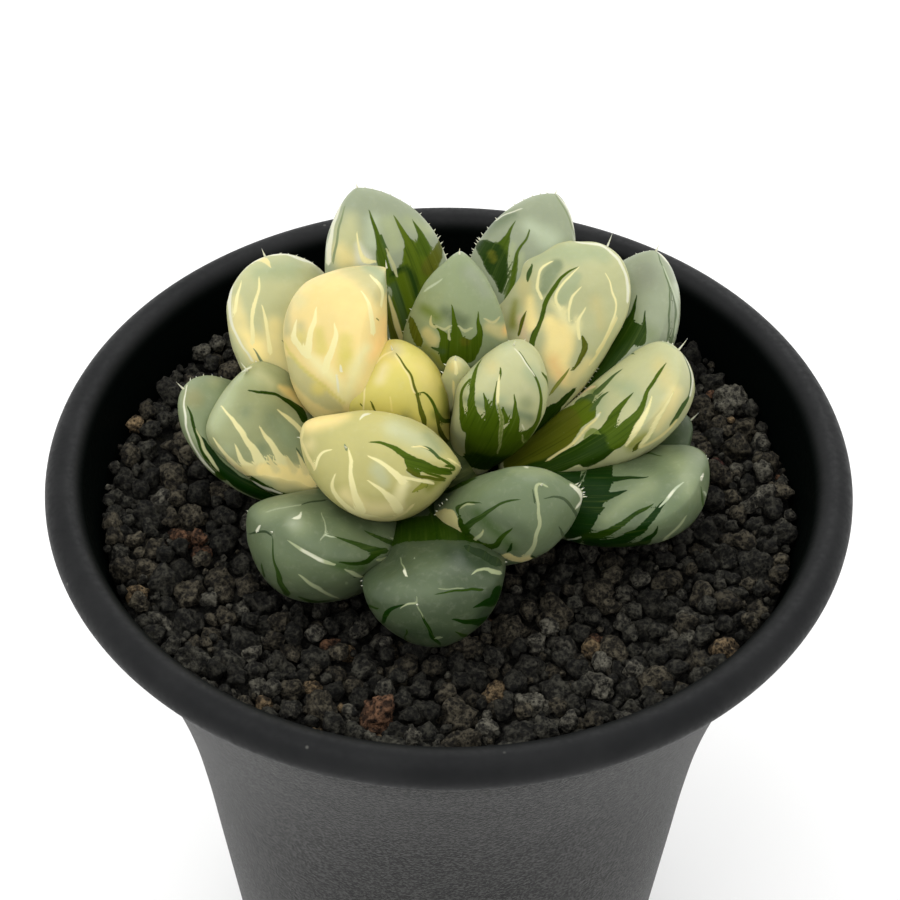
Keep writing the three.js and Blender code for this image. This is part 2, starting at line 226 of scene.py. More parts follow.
# The leaves from the heart of the rosette outwards
LEAVES = {
    "leaf_bud": dict(
        base=[0.3, 2.6, 93.1], tip=[0.5, 2.3, 104.6], width=4.5, top=1.4, keel=2.2,
        faces=90, bow=-0.6, round=1.5, slot=CREAM, columns=72, rows=90, bristle=0.6),
    "leaf_heart_left": dict(
        base=[-1, 2, 92.1], tip=[-6.3, 3.2, 105.1], width=11.5, top=4, keel=7,
        faces=172, bow=-1.5, round=2, roll=-22, liftShift=0.3, slot=CREAM, bristle=0.7),
    "leaf_heart_right": dict(
        base=[1.5, 1, 91.1], tip=[6.9, 3.1, 106.1], width=12, top=3.5, keel=5.5,
        faces=5, bow=-1.5, round=2, roll=32, slot=GREEN, bristle=0.6),
    "leaf_inner_front_left": dict(
        base=[-2.2, -1, 92.6], tip=[-10.9, -11, 104], width=16.8, top=4.6, keel=7.2,
        bow=-1.2, end=2.6, roll=-20, liftShift=0.4, slot=CREAM, bristle=0.5),
    "leaf_inner_front_right": dict(
        base=[-1, -4.5, 88.1], tip=[9.7, -14.5, 102.2], width=13.2, top=4.3, keel=6,
        bow=-3, roll=30, sideShift=-1.4, slot=GREEN, bristle=0.5),
    "leaf_inner_left": dict(
        base=[-3, 3, 89.1], tip=[-7.1, 12.2, 109.1], width=16, top=3.9, keel=7.5, faces=160,
        bow=-5, end=2.8, round=2.3, sideShift=-1, liftShift=-3, roll=-32, slot=CREAM, bristle=0.9),
    "leaf_inner_right": dict(
        base=[4.5, 4, 89.1], tip=[17.5, 18.5, 107.2], width=14.8, top=3, keel=6,
        side=-0.5, sideShift=-1.3, round=2.2, end=2.8, faces=62, slot=CREAM, bristle=1.6),
    "leaf_inner_back": dict(
        base=[0, 4.5, 90.1], tip=[0.9, 12.3, 111.1], width=12, top=3, keel=5,
        widest=0.45, round=1.2, end=2, slot=GREEN, bristle=0.7),
    "leaf_right": dict(
        base=[6, 0, 89.1], tip=[25.2, 6.7, 102.3], width=13, top=2.2, keel=6.5,
        side=0.6, roll=15, end=3.4, slot=CREAM, bristle=1.7),
    "leaf_left": dict(
        base=[-4.5, 0, 88.6], tip=[-22, 5.2, 100.9], width=15.5, top=4, keel=4.6, side=-1,
        bow=-4.5, end=4.2, round=2.5, sideShift=-0.6, liftShift=-3, slot=GREEN),
    "leaf_front": dict(
        base=[-2.4, -2.8, 89.1], tip=[-3.2, -25.2, 95.1], width=15.5, top=3.8, keel=8,
        end=2.8, sideShift=-1.2, roll=-8, slot=GREEN, bristle=0.4),
    "leaf_front_left": dict(
        base=[-4.5, -2.5, 88.1], tip=[-18.8, -15.3, 95.5], width=16.4, top=3.6, keel=8,
        bow=-3, end=2.8, roll=-12, liftShift=-0.1, slot=GREEN, bristle=0.4),
    "leaf_front_right": dict(
        base=[6, -2, 89.1], tip=[27.4, -6.7, 95.8], width=19, top=3.5, keel=5.5,
        end=3.6, round=2.1, bow=-1.5, liftShift=-1.4, sideShift=-2, roll=18, slot=GREEN, bristle=0.4),
    "leaf_back_far_left": dict(
        base=[-6.5, 5.5, 87.1], tip=[-21.1, 19.9, 104], width=15.8, top=3.5, keel=7,
        side=-2.5, bow=-3.5, round=2.1, slot=CREAM, bristle=1),
    "leaf_back_far_right": dict(
        base=[6, 4, 87.1], tip=[23.4, 22.4, 103.3], width=14, top=2.6, keel=8,
        bow=-4, side=0.5, round=1.4, roll=15, slot=GREEN, bristle=1),
    "leaf_back_left": dict(
        base=[-0.6, 8, 87.1], tip=[-10.7, 25, 110], width=15, sideShift=0.5,
        round=1.35, end=2.2, slot=GREEN, bristle=0.6),
    "leaf_back_right": dict(
        base=[1.2, 8, 87.1], tip=[11.7, 24, 110.2], width=12.8, sideShift=-1,
        round=1.4, end=2.2, slot=GREEN, bristle=0.6),
    "leaf_outer_left": dict(
        base=[-6, 2.5, 84.6], tip=[-29.7, 5.4, 96.9], width=14.4, top=2.6, keel=4.6,
        bow=-5, side=-1, slot=GREEN, columns=112, rows=80, bristle=1.2),
    "leaf_outer_right": dict(
        base=[7, 1, 84.8], tip=[27.2, 6, 92.3], width=11, top=2, keel=3.2,
        bow=-3, round=1.8, slot=GREEN, columns=72, rows=56),
    "leaf_outer_back": dict(
        base=[0.5, 7, 87.1], tip=[1.3, 30.8, 93.6], top=3, keel=4.2,
        bow=-2, round=1.6, slot=GREEN, columns=72, rows=56),
    "leaf_outer_back_left": dict(
        base=[-4, 6.5, 87.1], tip=[-18.7, 28, 94.5], top=3, keel=4.2,
        bow=-2, round=1.6, slot=GREEN, columns=72, rows=56),
    "leaf_outer_back_right": dict(
        base=[4.5, 6.5, 87.1], tip=[16.5, 29.7, 94.7], top=3, keel=4.2,
        bow=-2, round=1.6, slot=GREEN, columns=72, rows=56),
}

# Small fullnesses of the fine skins as the photograph shows them: the pixel place, how far the skin
# moves to the right and down and how far round that place the move reaches, all in pixels
PUSHES = {
    "leaf_inner_front_left": [(308, 420, -9, -6, 22), (455, 467, 6, 1, 14)],
    "leaf_left": [(214, 428, -11, 3, 38), (258, 358, -4, 7, 24)],
    "leaf_heart_right": [(467, 385, -9, 0, 22), (468, 425, -7, 0, 22)],
    "leaf_heart_left": [(366, 400, -13, 0, 26)],
    "leaf_inner_right": [(572, 236, 0, 8, 22), (533, 262, -6, 0, 14)],
    "leaf_inner_left": [(306, 290, -4, -8, 40), (290, 318, -4, 0, 30)],
    "leaf_inner_front_right": [(580, 492, 6, -2, 20)],
    "leaf_front": [(380, 548, 9, 8, 22), (425, 528, 2, 8, 26)],
    "leaf_bud": [(441, 372, 7, 2, 12), (440, 395, 7, 0, 14)],
}

# Colours of the leaves as they look in soft light, in display values. Glow and amber are painted
# light: brighter than the display's white, they stand in for the light that the leaves' windows gather.
COLOURS = {
    "white": (236, 236, 210),
    "painted_glow": (268, 246, 166),
    "painted_amber_glow": (272, 228, 150),
    "ivory": (252, 243, 178),
    "cream": (240, 226, 158),
    "pink": (232, 208, 160),
    "peach": (252, 227, 150),
    "orange": (255, 208, 130),
    "straw": (234, 217, 124),
    "butter": (212, 203, 142),
    "lemon": (224, 211, 110),
    "mist": (194, 205, 172),
    "pale": (200, 201, 150),
    "light": (180, 189, 144),
    "meadow": (166, 172, 124),
    "sand": (200, 193, 122),
    "haze": (150, 157, 133),
    "fog": (155, 168, 126),
    "drab": (150, 151, 104),
    "grey": (163, 172, 142),
    "sage": (142, 154, 114),
    "jade": (113, 128, 93),
    "reed": (104, 118, 85),
    "moss": (95, 109, 79),
    "pine": (74, 88, 61),
    "ink": (50, 66, 42),
    "olive": (152, 154, 62),
    "leaf": (116, 134, 60),
    "fern": (70, 94, 44),
    "khaki": (94, 100, 20),
    "lush": (88, 108, 10),
    "green": (74, 97, 10),
    "bottle": (48, 72, 24),
    "dark": (38, 64, 4),
    "deep": (14, 46, 2),
}
# How much of a display colour's light the skin itself sends back
LIGHT_SHARE = 0.84
HAIR_COLOUR = "white"

# What is painted on each leaf where the photograph shows it. A stroke is a colour and a row of
# x, y and half width, all in pixels. Soft strokes have the width of their edge before the row.
# Dark strokes and then light ones lie over the soft ones. Teeth are their length, their distance
# apart in millimetres, and the x and y of the places that the row runs through.
MARKINGS = {
    "leaf_back_left": dict(
        ground="grey", under="sage",
        soft=[
            ("pale", 10, 350, 222, 8, 350, 240, 14), ("pale", 8, 343, 235, 8, 346, 256, 14),
            ("mist", 7, 373, 222, 6, 373, 242, 8), ("light", 8, 390, 225, 9, 395, 243, 8),
            ("light", 8, 408, 222, 5, 428, 230, 6), ("cream", 8, 340, 250, 6, 350, 264, 12),
            ("white", 5, 358, 246, 3, 364, 260, 8), ("leaf", 8, 404, 290, 7, 398, 300, 6),
        ],
        dark=[
            ("sage", 345, 206, .5, 340, 224, 1, 336, 245, 1.2, 333, 262, 1.3),
            ("green", 369.5, 211, .5, 374, 225, 1.9, 377.5, 238, 2.6, 380, 250, 4.2, 382, 260, 5.8,
             386, 270, 5, 392, 281, 6), ("fern", 381, 235, .7, 385, 245, 1, 388.5, 251, .8),
            ("lush", 394, 216, .5, 399.5, 226, 2, 404, 234, 3, 409, 243, 5, 414, 255, 11, 418, 266, 16,
             412, 284, 17, 406, 304, 15, 402, 324, 13, 403, 348, 12),
            ("green", 413, 221, .5, 417, 228, 1.8, 421, 237, 3.6, 424, 248, 7),
            ("khaki", 441, 236, 1, 440, 244, 3, 436, 256, 6, 430, 268, 8),
            ("khaki", 385, 294, 2.4, 387, 310, 2.6, 392, 326, 3, 398, 343, 3),
            ("fern", 394, 286, 3, 399, 302, 3.4, 403, 316, 3, 407, 330, 2),
            ("dark", 392, 274, 2, 405, 268, 2, 414, 282, 3, 417, 298, 2),
        ],
        light=[
            ("pale", 386.5, 249, .8, 390, 258, 1.8, 394, 267, 2.2, 397, 276, .8),
            ("cream", 389, 297, .8, 392, 309, 2, 397, 324, 2.6, 403, 343, 2.2),
            ("white", 343, 201, .4, 335, 220, 1.5, 330.5, 238, 2.3, 328, 262, 3),
            ("ivory", 357, 233, .7, 358, 244, 1.3, 361, 254, 2, 366, 261, 3.4, 374, 262, 1.5),
            ("white", 424, 214, .4, 436, 227, 1.1, 442, 238, 1.9, 446, 249, 3, 450, 260, 4),
        ],
        teeth=[(.45, 1.1, (436, 224, 442, 234, 448, 246, 453, 257))],
    ),
    "leaf_back_right": dict(
        ground="grey", under="sage",
        soft=[
            ("mist", 9, 530, 226, 6, 550, 240, 10), ("jade", 7, 484, 230, 6, 500, 220, 6, 514, 214, 2),
            ("grey", 6, 545, 212, 9), ("light", 4, 513, 245, 3, 510, 262, 4, 505, 286, 4),
            ("light", 4, 521, 255, 3, 519, 268, 4),
        ],
        dark=[
            ("sage", 556, 197, .4, 566, 212, .7, 573, 229, .8, 577, 241, .8),
            ("green", 515.5, 221.5, .4, 511, 229, 1.4, 508, 236, 2.4, 503, 245, 6, 500, 256, 9),
            ("dark", 481, 246, 6, 489, 251, 10.5, 496, 262, 12, 500, 275, 8, 501, 290, 3),
            ("khaki", 491, 254, 3, 494, 260, 2.4),
            ("green", 529.5, 230.5, .7, 526, 238, 1.1, 521, 245, 1.3, 517, 253, 1.6, 516, 262, 2.2,
             514, 273, 2.8, 511, 286, 3, 508, 299, 2.8, 507, 306, 2),
        ],
        light=[
            ("white", 557, 195, .4, 568, 210, .9, 575, 228, 1.1, 578.5, 241, 1.2),
            ("white", 522, 209, .4, 507, 214, .6, 495, 221, .5),
        ],
        teeth=[(.45, .55, (480, 231, 474, 240, 470, 249, 468, 258))],
    ),
    "leaf_inner_right": dict(
        ground="pale", under="butter",
        soft=[
            ("light", 8, 535, 262, 4, 550, 253, 7, 577, 253, 11, 602, 256, 9),
            ("pale", 8, 592, 270, 9, 612, 285, 9), ("butter", 5, 524, 285, 7, 526, 300, 7),
            # Painted light: the glow and amber strokes of this leaf
            ("painted_glow", 6, 530, 300, 3, 531, 325, 8), ("olive", 5, 515, 302, 2, 512, 325, 5),
            ("pink", 4, 521, 318, 3, 524, 340, 5), ("sage", 3, 557, 265, 6, 549, 276, 8, 544, 290, 5),
            ("ivory", 5, 555, 303, 3, 572, 325, 10),
            ("light", 2.5, 577, 277, 5, 568, 289, 8, 562, 300, 5.5),
            ("pale", 3, 578, 301, 5, 572, 314, 4, 572, 321, 3), ("butter", 8, 596, 302, 5, 599, 325, 5),
            ("pale", 5, 590, 318, 6, 589, 334, 6),
            ("painted_glow", 6, 550, 322, 7, 560, 340, 14, 556, 362, 13, 566, 380, 7),
            ("painted_amber_glow", 9, 553, 362, 5, 560, 376, 4), ("cream", 5, 588, 362, 5, 572, 380, 5),
        ],
        dark=[
            ("green", 577.5, 267.5, .5, 568, 272, 1.2, 560, 279, 1.6, 554, 288, 2, 547, 300, 2.3,
             543, 312, 2.3, 540, 322, 2.5, 535, 335, 3, 530, 348, 3.2),
            ("fern", 532, 265, .8, 529, 272, 2, 528, 280, 1.2),
            ("khaki", 526, 312, .5, 522, 322, 1.7, 518, 334, 1.3),
            ("khaki", 582.5, 338, 1.6, 585, 345, 3, 584, 352, 2.7, 579, 362, 1.8, 574, 370, .7),
            ("olive", 569, 369, .6, 562, 378, 1.6, 556, 387, 2, 551, 394, 1.6),
            ("dark", 560, 404, 3, 550, 414, 8, 537, 432, 12, 522, 455, 14),
            ("dark", 574, 389, 1.5, 562, 402, 4),
        ],
        light=[
            ("ivory", 552, 262, .7, 543, 267, 1.4, 538.5, 275, 1.4, 537.5, 287, 1.5, 542, 297, 1.6),
            ("ivory", 579, 268, .4, 568, 278, 1, 558, 290, 1.3, 556, 300, 1.5, 560, 308, 1.5),
            ("ivory", 581, 287, .5, 572, 296, 1.3, 569, 306, 1.3, 569, 320, 1.4),
            ("ivory", 586, 308, .7, 579, 322, 1.5, 579, 338, 2),
            ("ivory", 606, 274, .4, 612, 290, .9, 616, 304, .9, 612, 322, 1.2, 605, 340, 1.4,
             597, 353, 1.5),
            ("white", 575, 241, .4, 600, 246, 1.3, 616, 256, 1.6, 624, 270, 1.4, 628, 286, 1.4,
             627, 302, 1.2), ("white", 522, 264, .8, 530, 257, 1.4, 540, 251, .8),
            ("cream", 617, 318, .6, 604, 344, 1.2, 590, 364, 1.4),
        ],
        teeth=[(.3, .5, (592, 364, 575, 380, 552, 400))],
    ),
    "leaf_back_far_right": dict(
        ground="grey", under="jade",
        soft=[
            ("haze", 10, 646, 275, 14), ("grey", 10, 652, 302, 7),
            ("sage", 8, 650, 335, 8, 634, 318, 4), ("mist", 5, 676, 285, 3, 680, 300, 3),
        ],
        dark=[
            ("dark", 637, 296, .4, 634.5, 305, 1.5, 632, 314, 2.8, 628, 324, 6),
            ("dark", 645.5, 312, .5, 644, 322, 1.6, 643, 330, 3, 640, 340, 6),
            ("dark", 634, 332, 10, 622, 341, 11, 610, 358, 9, 598, 372, 8, 585, 384, 8, 565, 400, 7,
             548, 410, 5),
            ("jade", 658, 253, .4, 664, 270, .7, 669, 290, .9, 669, 320, .9, 667, 343, 1),
            ("jade", 669, 285, .4, 675, 303, .9, 675, 325, 1.1, 670, 346, 1.3),
        ],
        light=[
            ("mist", 663, 266, .4, 672, 288, .9, 678, 308, 1, 675, 335, 1.2),
            ("white", 655, 249, .6, 668, 262, .9, 677, 278, 1.2, 682.5, 296, 1.3, 681, 315, 1.1),
        ],
    ),
    "leaf_inner_back": dict(
        ground="fog", under="jade",
        soft=[
            ("jade", 6, 445, 312, 6, 463, 322, 6), ("leaf", 6, 424, 308, 4, 436, 318, 5),
            ("grey", 8, 470, 272, 7, 486, 292, 5), ("butter", 3, 427, 333, 6, 433, 341, 6),
            ("butter", 4, 490, 328, 6, 503, 332, 8), ("orange", 5, 507, 330, 4),
            ("olive", 4, 424, 350, 5, 440, 366, 8, 448, 388, 6),
        ],
        dark=[
            ("green", 452, 305, .5, 453, 313, 1.6, 454, 322, 2.6, 456, 331, 4.2, 457, 342, 7.5,
             457, 356, 11, 455, 372, 10),
            ("green", 478, 313.5, .5, 478, 321, 1.5, 480, 328, 2.6, 480, 336, 3.6, 475, 344, 6.5,
             468, 354, 9), ("green", 434, 325, .6, 440, 331, 2, 445, 338, 5, 447, 347, 8, 450, 358, 9),
            ("khaki", 465, 341, 4), ("khaki", 411, 321, 3, 414, 331, 4, 419, 342, 4),
            ("fern", 443, 352, 2, 432, 348, 1),
        ],
        light=[
            ("mist", 441, 280, .6, 433, 286, 1.2, 425, 291, 1),
            ("butter", 431, 317, .6, 431, 324, 1.4, 435, 328, 1),
            ("pale", 436, 326, .8, 444, 329.5, 1.2, 450, 327, 1.2),
            ("pale", 459, 326, .8, 465, 330.5, 1.5, 472, 328, 1),
            ("butter", 485, 319, .8, 492, 322, 1.2, 499, 318, .9), ("pale", 449, 331, 1, 449, 338, 1.6),
        ],
    ),
    "leaf_back_far_left": dict(
        ground="pale", under="butter",
        soft=[
            ("light", 9, 258, 272, 7, 290, 268, 10), ("pale", 6, 247, 288, 8, 246, 310, 5),
            # Painted light: the glow stroke at about x 255, y 345
            ("cream", 6, 236, 300, 3, 240, 325, 9), ("painted_glow", 9, 246, 336, 6, 263, 353, 14),
            ("pale", 6, 268, 292, 7, 275, 312, 7),
            ("cream", 7, 274, 325, 8, 276, 352, 10, 288, 378, 12),
            ("peach", 5, 300, 384, 5, 290, 376, 6),
            ("butter", 3, 300, 372, 3, 315, 386, 11, 334, 400, 8),
        ],
        dark=[
            ("sage", 254, 349, .4, 259, 357, 1.2, 264, 365, 1.4, 272, 374, .8),
            ("khaki", 282, 340, .4, 300, 366, .5, 322, 383, .5, 342, 403, .4),
        ],
        light=[
            ("ivory", 259, 278, .6, 259.5, 289, 1.3, 256, 300, 1.8, 253, 312, 2, 252, 326, 1.8,
             253, 342, 2.4), ("ivory", 241, 282, .5, 237, 295, 1.3, 234.5, 312, 1.8),
            ("ivory", 262, 306, .5, 266, 320, 1.5, 268, 336, 1.8, 270, 352, 2.4),
            ("cream", 250, 263, .6, 257, 259, 2.4, 266, 261, 2.4, 270, 266, .8),
            ("white", 263, 256, .8, 248, 264, 1.1, 236, 276, 1.3, 230.5, 292, 1.6, 229.5, 310, 1.6,
             233, 326, 1.3, 241, 343, 1.2, 252, 360, 1.1),
            ("white", 266, 256, .8, 285, 254.5, 1, 305, 260, 1, 318, 266, .9),
        ],
    ),
    "leaf_inner_left": dict(
        ground="peach", under="cream",
        soft=[
            ("butter", 8, 333, 265, 2, 352, 270, 8, 368, 281, 9, 377, 298, 5),
            ("light", 5, 366, 266, 5, 380, 274, 7, 386, 290, 4), ("cream", 8, 292, 292, 5, 300, 302, 6),
            ("butter", 5, 289, 300, 1.5, 286, 316, 4, 287, 332, 5),
            ("butter", 6, 300, 326, 4, 301, 340, 5), ("straw", 5, 319, 332, 5, 321, 350, 7),
            ("straw", 6, 345, 340, 7, 346, 364, 9), ("lemon", 8, 346, 356, 5),
            # Painted light: the amber stroke at about x 383, y 340
            ("straw", 7, 300, 338, 6), ("painted_amber_glow", 8, 386, 322, 6, 383, 340, 9, 372, 354, 6),
            ("ivory", 7, 308, 356, 3, 322, 368, 6, 336, 383, 5, 342, 398, 5),
            ("ivory", 8, 366, 348, 4, 356, 368, 5, 348, 396, 6),
            ("butter", 2.5, 288, 364, 8, 303, 381, 9, 320, 396, 9, 337, 409, 6),
            ("straw", 5, 318, 388, 7), ("peach", 3, 285, 393, 6, 305, 407, 6, 330, 418, 7, 345, 418, 6),
            ("lemon", 1.6, 279, 334, .5, 288, 350, 1, 301, 366, 1.3, 322, 384, 1.4, 344, 404, 1),
        ],
        dark=[("khaki", 377.4, 319.5, .5, 378, 320.5, .5)],
        light=[
            ("ivory", 296.5, 321, .6, 294, 330, 2, 294, 339, 2.8, 301, 349, 3.4, 307, 355, 4),
            ("ivory", 317, 309, .6, 314, 322, 2.2, 310, 335, 3, 308, 350, 3.6),
            ("ivory", 335, 324, .6, 336, 335, 2.2, 333, 347, 3, 328, 360, 3.6, 325, 369, 4),
            ("ivory", 362, 292, .5, 368, 303, 1.6, 372, 316, 2.2, 373, 332, 2.4),
            ("ivory", 371, 276, .7, 379, 284, 1.7, 382.5, 294, 1.5, 381.5, 306, 1.3),
            ("cream", 281, 334, .8, 283, 316, 1.2, 290, 301, 1.2, 299, 287, 2.2, 312, 273, 2.4,
             330, 264, 1.8, 345, 261, .7), ("white", 341, 366, .8, 341.5, 370, 1.5),
            ("white", 336.5, 375, .6, 337.5, 384, 1.3, 339, 392, .8),
        ],
    ),
    "leaf_heart_left": dict(
        ground="lemon", under="lemon",
        soft=[
            ("straw", 8, 392, 358, 9), ("straw", 8, 420, 365, 8, 430, 385, 8),
            ("butter", 8, 395, 350, 6), ("olive", 5, 444, 390, 3, 448, 412, 6),
            ("olive", 5, 437, 415, 5), ("cream", 6, 384, 368, 5, 380, 380, 4),
        ],
        dark=[
            ("khaki", 396, 353, .4, 401, 360, .8, 406, 368, 1, 411, 377, 1, 415, 386, 1.2,
             417, 393, 1.5, 418.5, 401, 1.7, 420.5, 410, 2.3, 423, 419, 2.9, 425, 425, 2),
            ("green", 419, 393, .5, 424, 392.5, .9, 429, 397, 1.3, 433, 403, 1.6, 436, 409, 1.8,
             438, 415, 2.4, 443, 420, 2.4, 450, 421, 2),
            ("khaki", 437, 416, 1.4, 439, 427, 1.8, 442, 435, 2.2, 447, 443, 2.6, 453, 451, 3),
            ("khaki", 361, 404.5, .8, 361.5, 405, .8),
            ("khaki", 371, 402, .6, 372.5, 406, 1, 374, 410, .8),
        ],
        light=[
            ("cream", 392, 351, .7, 384, 355, .8, 377, 361, .9, 371, 370, 1.3, 366, 380, .9,
             364, 392, .9, 364, 409, .9),
            ("cream", 395, 355, .4, 403, 367, .6, 410, 380, .6, 415, 392, .8),
            ("straw", 390, 398, .6, 392, 410, 1),
        ],
    ),
    "leaf_heart_right": dict(
        ground="pale", under="green",
        soft=[
            ("butter", 8, 492, 368, 6), ("light", 6, 530, 372, 7, 540, 385, 5),
            ("light", 6, 476, 365, 4, 466, 388, 4), ("light", 5, 482, 398, 5, 503, 400, 4),
            ("meadow", 5, 526, 403, 7), ("sage", 5, 530, 418, 5, 466, 400, 4),
            ("light", 8, 505, 342, 6),
        ],
        dark=[
            ("green", 485, 351.5, .5, 481, 358, 1, 478, 364, 1.2, 475, 372, 1.8, 473, 382, 2.4,
             472, 392, 3, 471, 402, 3.8, 472, 412, 5.5, 474, 422, 9, 478, 436, 13, 482, 450, 17),
            ("green", 470, 379, .8, 464.5, 387, 1.2, 461.5, 395, 1.4, 460.5, 404, 1.8, 462, 415, 2.6,
             465, 428, 4), ("green", 501, 369, .8, 501, 374, 1.4, 500, 380, .8),
            ("green", 497, 382, .4, 495, 392, 1, 494, 402, 1.7, 495, 412, 2.6, 497, 424, 4,
             499, 436, 6),
            ("green", 484, 394, .6, 486, 401, 1.8, 488, 409, 3, 490, 418, 5, 491, 430, 8, 490, 445, 11),
            ("green", 514, 395.5, .6, 515.5, 403, 1.4, 515, 411, 2.4, 515, 420, 4.4, 513, 430, 7,
             509, 442, 10, 505, 455, 11),
            ("green", 519, 351, .4, 527, 362, .8, 532, 372, .9, 537, 382, 1.2, 540, 392, 1.4,
             541, 402, 1.6, 540, 412, 1.8, 537, 422, 2.2, 531, 431, 3.4, 523, 438, 6),
            ("green", 543, 373, .9, 547, 379, 1.4, 549, 386, 1.2, 549.5, 395, .9, 547, 404, .9),
            ("green", 474, 432, 6, 484, 446, 12, 498, 452, 13, 512, 450, 10, 524, 440, 5),
            ("dark", 464, 464, 6, 472, 460, 7, 490, 464, 7, 512, 462, 5),
            ("green", 503, 409, 1.4, 505, 420, 3),
        ],
        light=[
            ("ivory", 500, 376, .5, 498.5, 385, 1.4, 497.5, 395, 1.6, 498, 405, 1.2),
            ("leaf", 499, 405, 1.2, 501, 416, 1.7, 502, 428, 1.9, 500, 440, 1.5, 498, 452, .8),
            ("white", 515, 349, .4, 522, 357, .8, 528, 366, .8, 534, 376, .5),
            ("light", 547, 406, .8, 543.5, 418, 1.1, 538, 429, 1.3, 530, 440, 1.3, 522, 449, 1),
            ("white", 522.5, 426, .8, 524, 428.5, .8), ("leaf", 523, 436, .6, 523, 441, .7),
        ],
    ),
    "leaf_bud": dict(
        ground="pale", under="butter",
        soft=[("cream", 5, 455, 366, 6), ("sage", 5, 457, 402, 4), ("olive", 5, 456, 440, 8)],
        dark=[
            ("khaki", 455, 436, 1.2, 457, 443, 1.8, 458, 453, 2.6),
            ("khaki", 452, 421, 1, 452, 426, 1.2),
        ],
        light=[
            ("ivory", 455, 361, 1, 456, 373, 1.8), ("cream", 453, 382, 1, 454, 400, 1.2, 456, 422, 1.5),
        ],
        teeth=[(.4, .7, (450, 366, 450, 390, 451, 420))],
    ),
    "leaf_right": dict(
        ground="pale", under="green",
        soft=[
            ("light", 8, 612, 383, 6, 630, 390, 8), ("butter", 8, 660, 365, 8, 668, 382, 8),
            ("light", 6, 602, 398, 5, 598, 412, 6), ("cream", 6, 676, 392, 6, 668, 408, 7, 656, 426, 6),
            ("light", 8, 640, 400, 5), ("leaf", 5, 594, 390, 4, 588, 402, 4),
            ("olive", 6, 645, 436, 4, 630, 446, 4),
        ],
        dark=[
            ("fern", 590, 397, 4, 583, 406, 9), ("lush", 585, 411, 11, 572, 420, 14),
            ("khaki", 566, 424, 15, 554, 436, 17, 538, 450, 18, 520, 462, 17),
            ("dark", 604, 432, 6, 597, 442, 9, 580, 453, 10, 562, 461, 9, 545, 468, 8, 520, 476, 8),
            ("dark", 612, 441, 8, 598, 454, 8, 585, 461, 6),
            ("green", 632, 393.5, .6, 626, 400, 1.8, 620, 408, 3, 613, 418, 4.6, 607, 428, 6.5),
            ("green", 665.5, 364.5, .6, 660, 372, 1.6, 655, 380, 1.8, 648, 390, 2, 645, 397, 2.3,
             641, 407, 3, 636, 417, 5, 628, 428, 8, 616, 440, 9),
            ("fern", 634.5, 353.5, .4, 625, 355, 1, 616, 359, 1.2),
            ("fern", 622, 370, .5, 612, 377, 1.2, 604, 385, 2, 596, 392, 2.8),
            ("fern", 607.5, 392, .5, 601, 397, 1.5, 596, 404, 2, 592, 410, 1),
            ("fern", 682, 352, .4, 688, 365, .8, 691, 380, .9, 689, 395, 1, 684, 405, 2, 678, 415, 2.4,
             671, 425, 1.6), ("khaki", 651, 429, .6, 644, 440, 1.5, 634, 449, 2),
        ],
        light=[
            ("leaf", 585, 438, 1, 592, 431, 3.4, 599, 434, 1),
            ("ivory", 652, 397, .7, 647, 410, 2, 641, 422, 3, 634, 434, 3, 626, 445, 1.6),
            ("ivory", 673, 393, .7, 664, 408, 2, 656, 422, 3, 648, 436, 2.6, 639, 447, 1.4),
            ("cream", 600, 413, .8, 594, 420, 1.2, 586, 429, 1.2, 578, 437, 1.4, 568, 447, 1.4,
             558, 454, 1.4, 547, 460, 1.2), ("white", 597, 415, 1.5),
            ("pink", 595, 386, .7, 580, 393, 2, 566, 401, 2.7, 556, 407, 2.9, 547, 412, 2.7,
             541, 419, 2), ("white", 684, 354, .7, 690, 366, 1, 693, 380, 1.1, 690, 396, 1),
            ("cream", 640, 448, .9, 655, 440, 1.3, 668, 430, 1.4, 677, 420, 1),
            ("light", 648, 340, .4, 662, 341, .8, 676, 349, .8),
        ],
    ),
    "leaf_left": dict(
        ground="meadow", under="green",
        soft=[
            ("light", 10, 228, 396, 9, 214, 422, 8), ("light", 10, 235, 378, 7, 255, 378, 6),
            ("pale", 7, 272, 384, 5, 258, 374, 5), ("sage", 10, 272, 418, 9, 290, 436, 9),
            ("sage", 8, 245, 412, 5), ("fog", 8, 292, 440, 9, 282, 424, 6), ("light", 8, 225, 452, 6),
            ("sage", 6, 262, 448, 6), ("butter", 6, 284, 482, 9, 310, 485, 10, 328, 492, 7),
            # Painted light: the glow stroke along the lower edge
            ("painted_glow", 5, 252, 469, 4, 275, 473, 7, 294, 474, 8, 308, 482, 7),
            ("peach", 3, 280, 387, 2, 292, 394, 5, 306, 405, 7),
        ],
        dark=[
            ("dark", 250, 391, .6, 262, 392, 1.2, 275, 394, 1.5, 285, 399, 2.1, 293, 405, 2.6,
             300, 411, 3.6, 304, 419, 3.6),
            ("dark", 244, 470, .8, 255, 481, 2.6, 268, 489, 3, 282, 495, 3, 293, 499, 3),
            ("jade", 297, 449, .8, 301, 458, 1.6, 306, 467, 1.6),
        ],
        light=[
            ("ivory", 222, 406.5, .5, 232, 419, 1.8, 240, 430, 2.6, 246, 440, 3, 252, 448, 3.5,
             257, 456, 4.6, 262, 465, 5.4),
            ("ivory", 260, 427, .7, 266, 436, 2, 272, 445, 2.7, 278, 455, 3.6, 285, 465, 5.4),
            ("ivory", 279, 410.5, .8, 287, 417, 2, 294, 423, 2.3, 301, 432, 2.2),
            ("ivory", 214, 438.5, .6, 220, 448, 1.4, 228, 458, 2.1, 237, 467, 3),
            ("ivory", 235, 445.5, .5, 239, 455, 2, 244, 463, 3, 252, 468, 4),
            ("cream", 236, 468, 2.2, 250, 471, 4.4, 262, 470, 5.5),
            # Painted light: the glow stroke along the lower edge
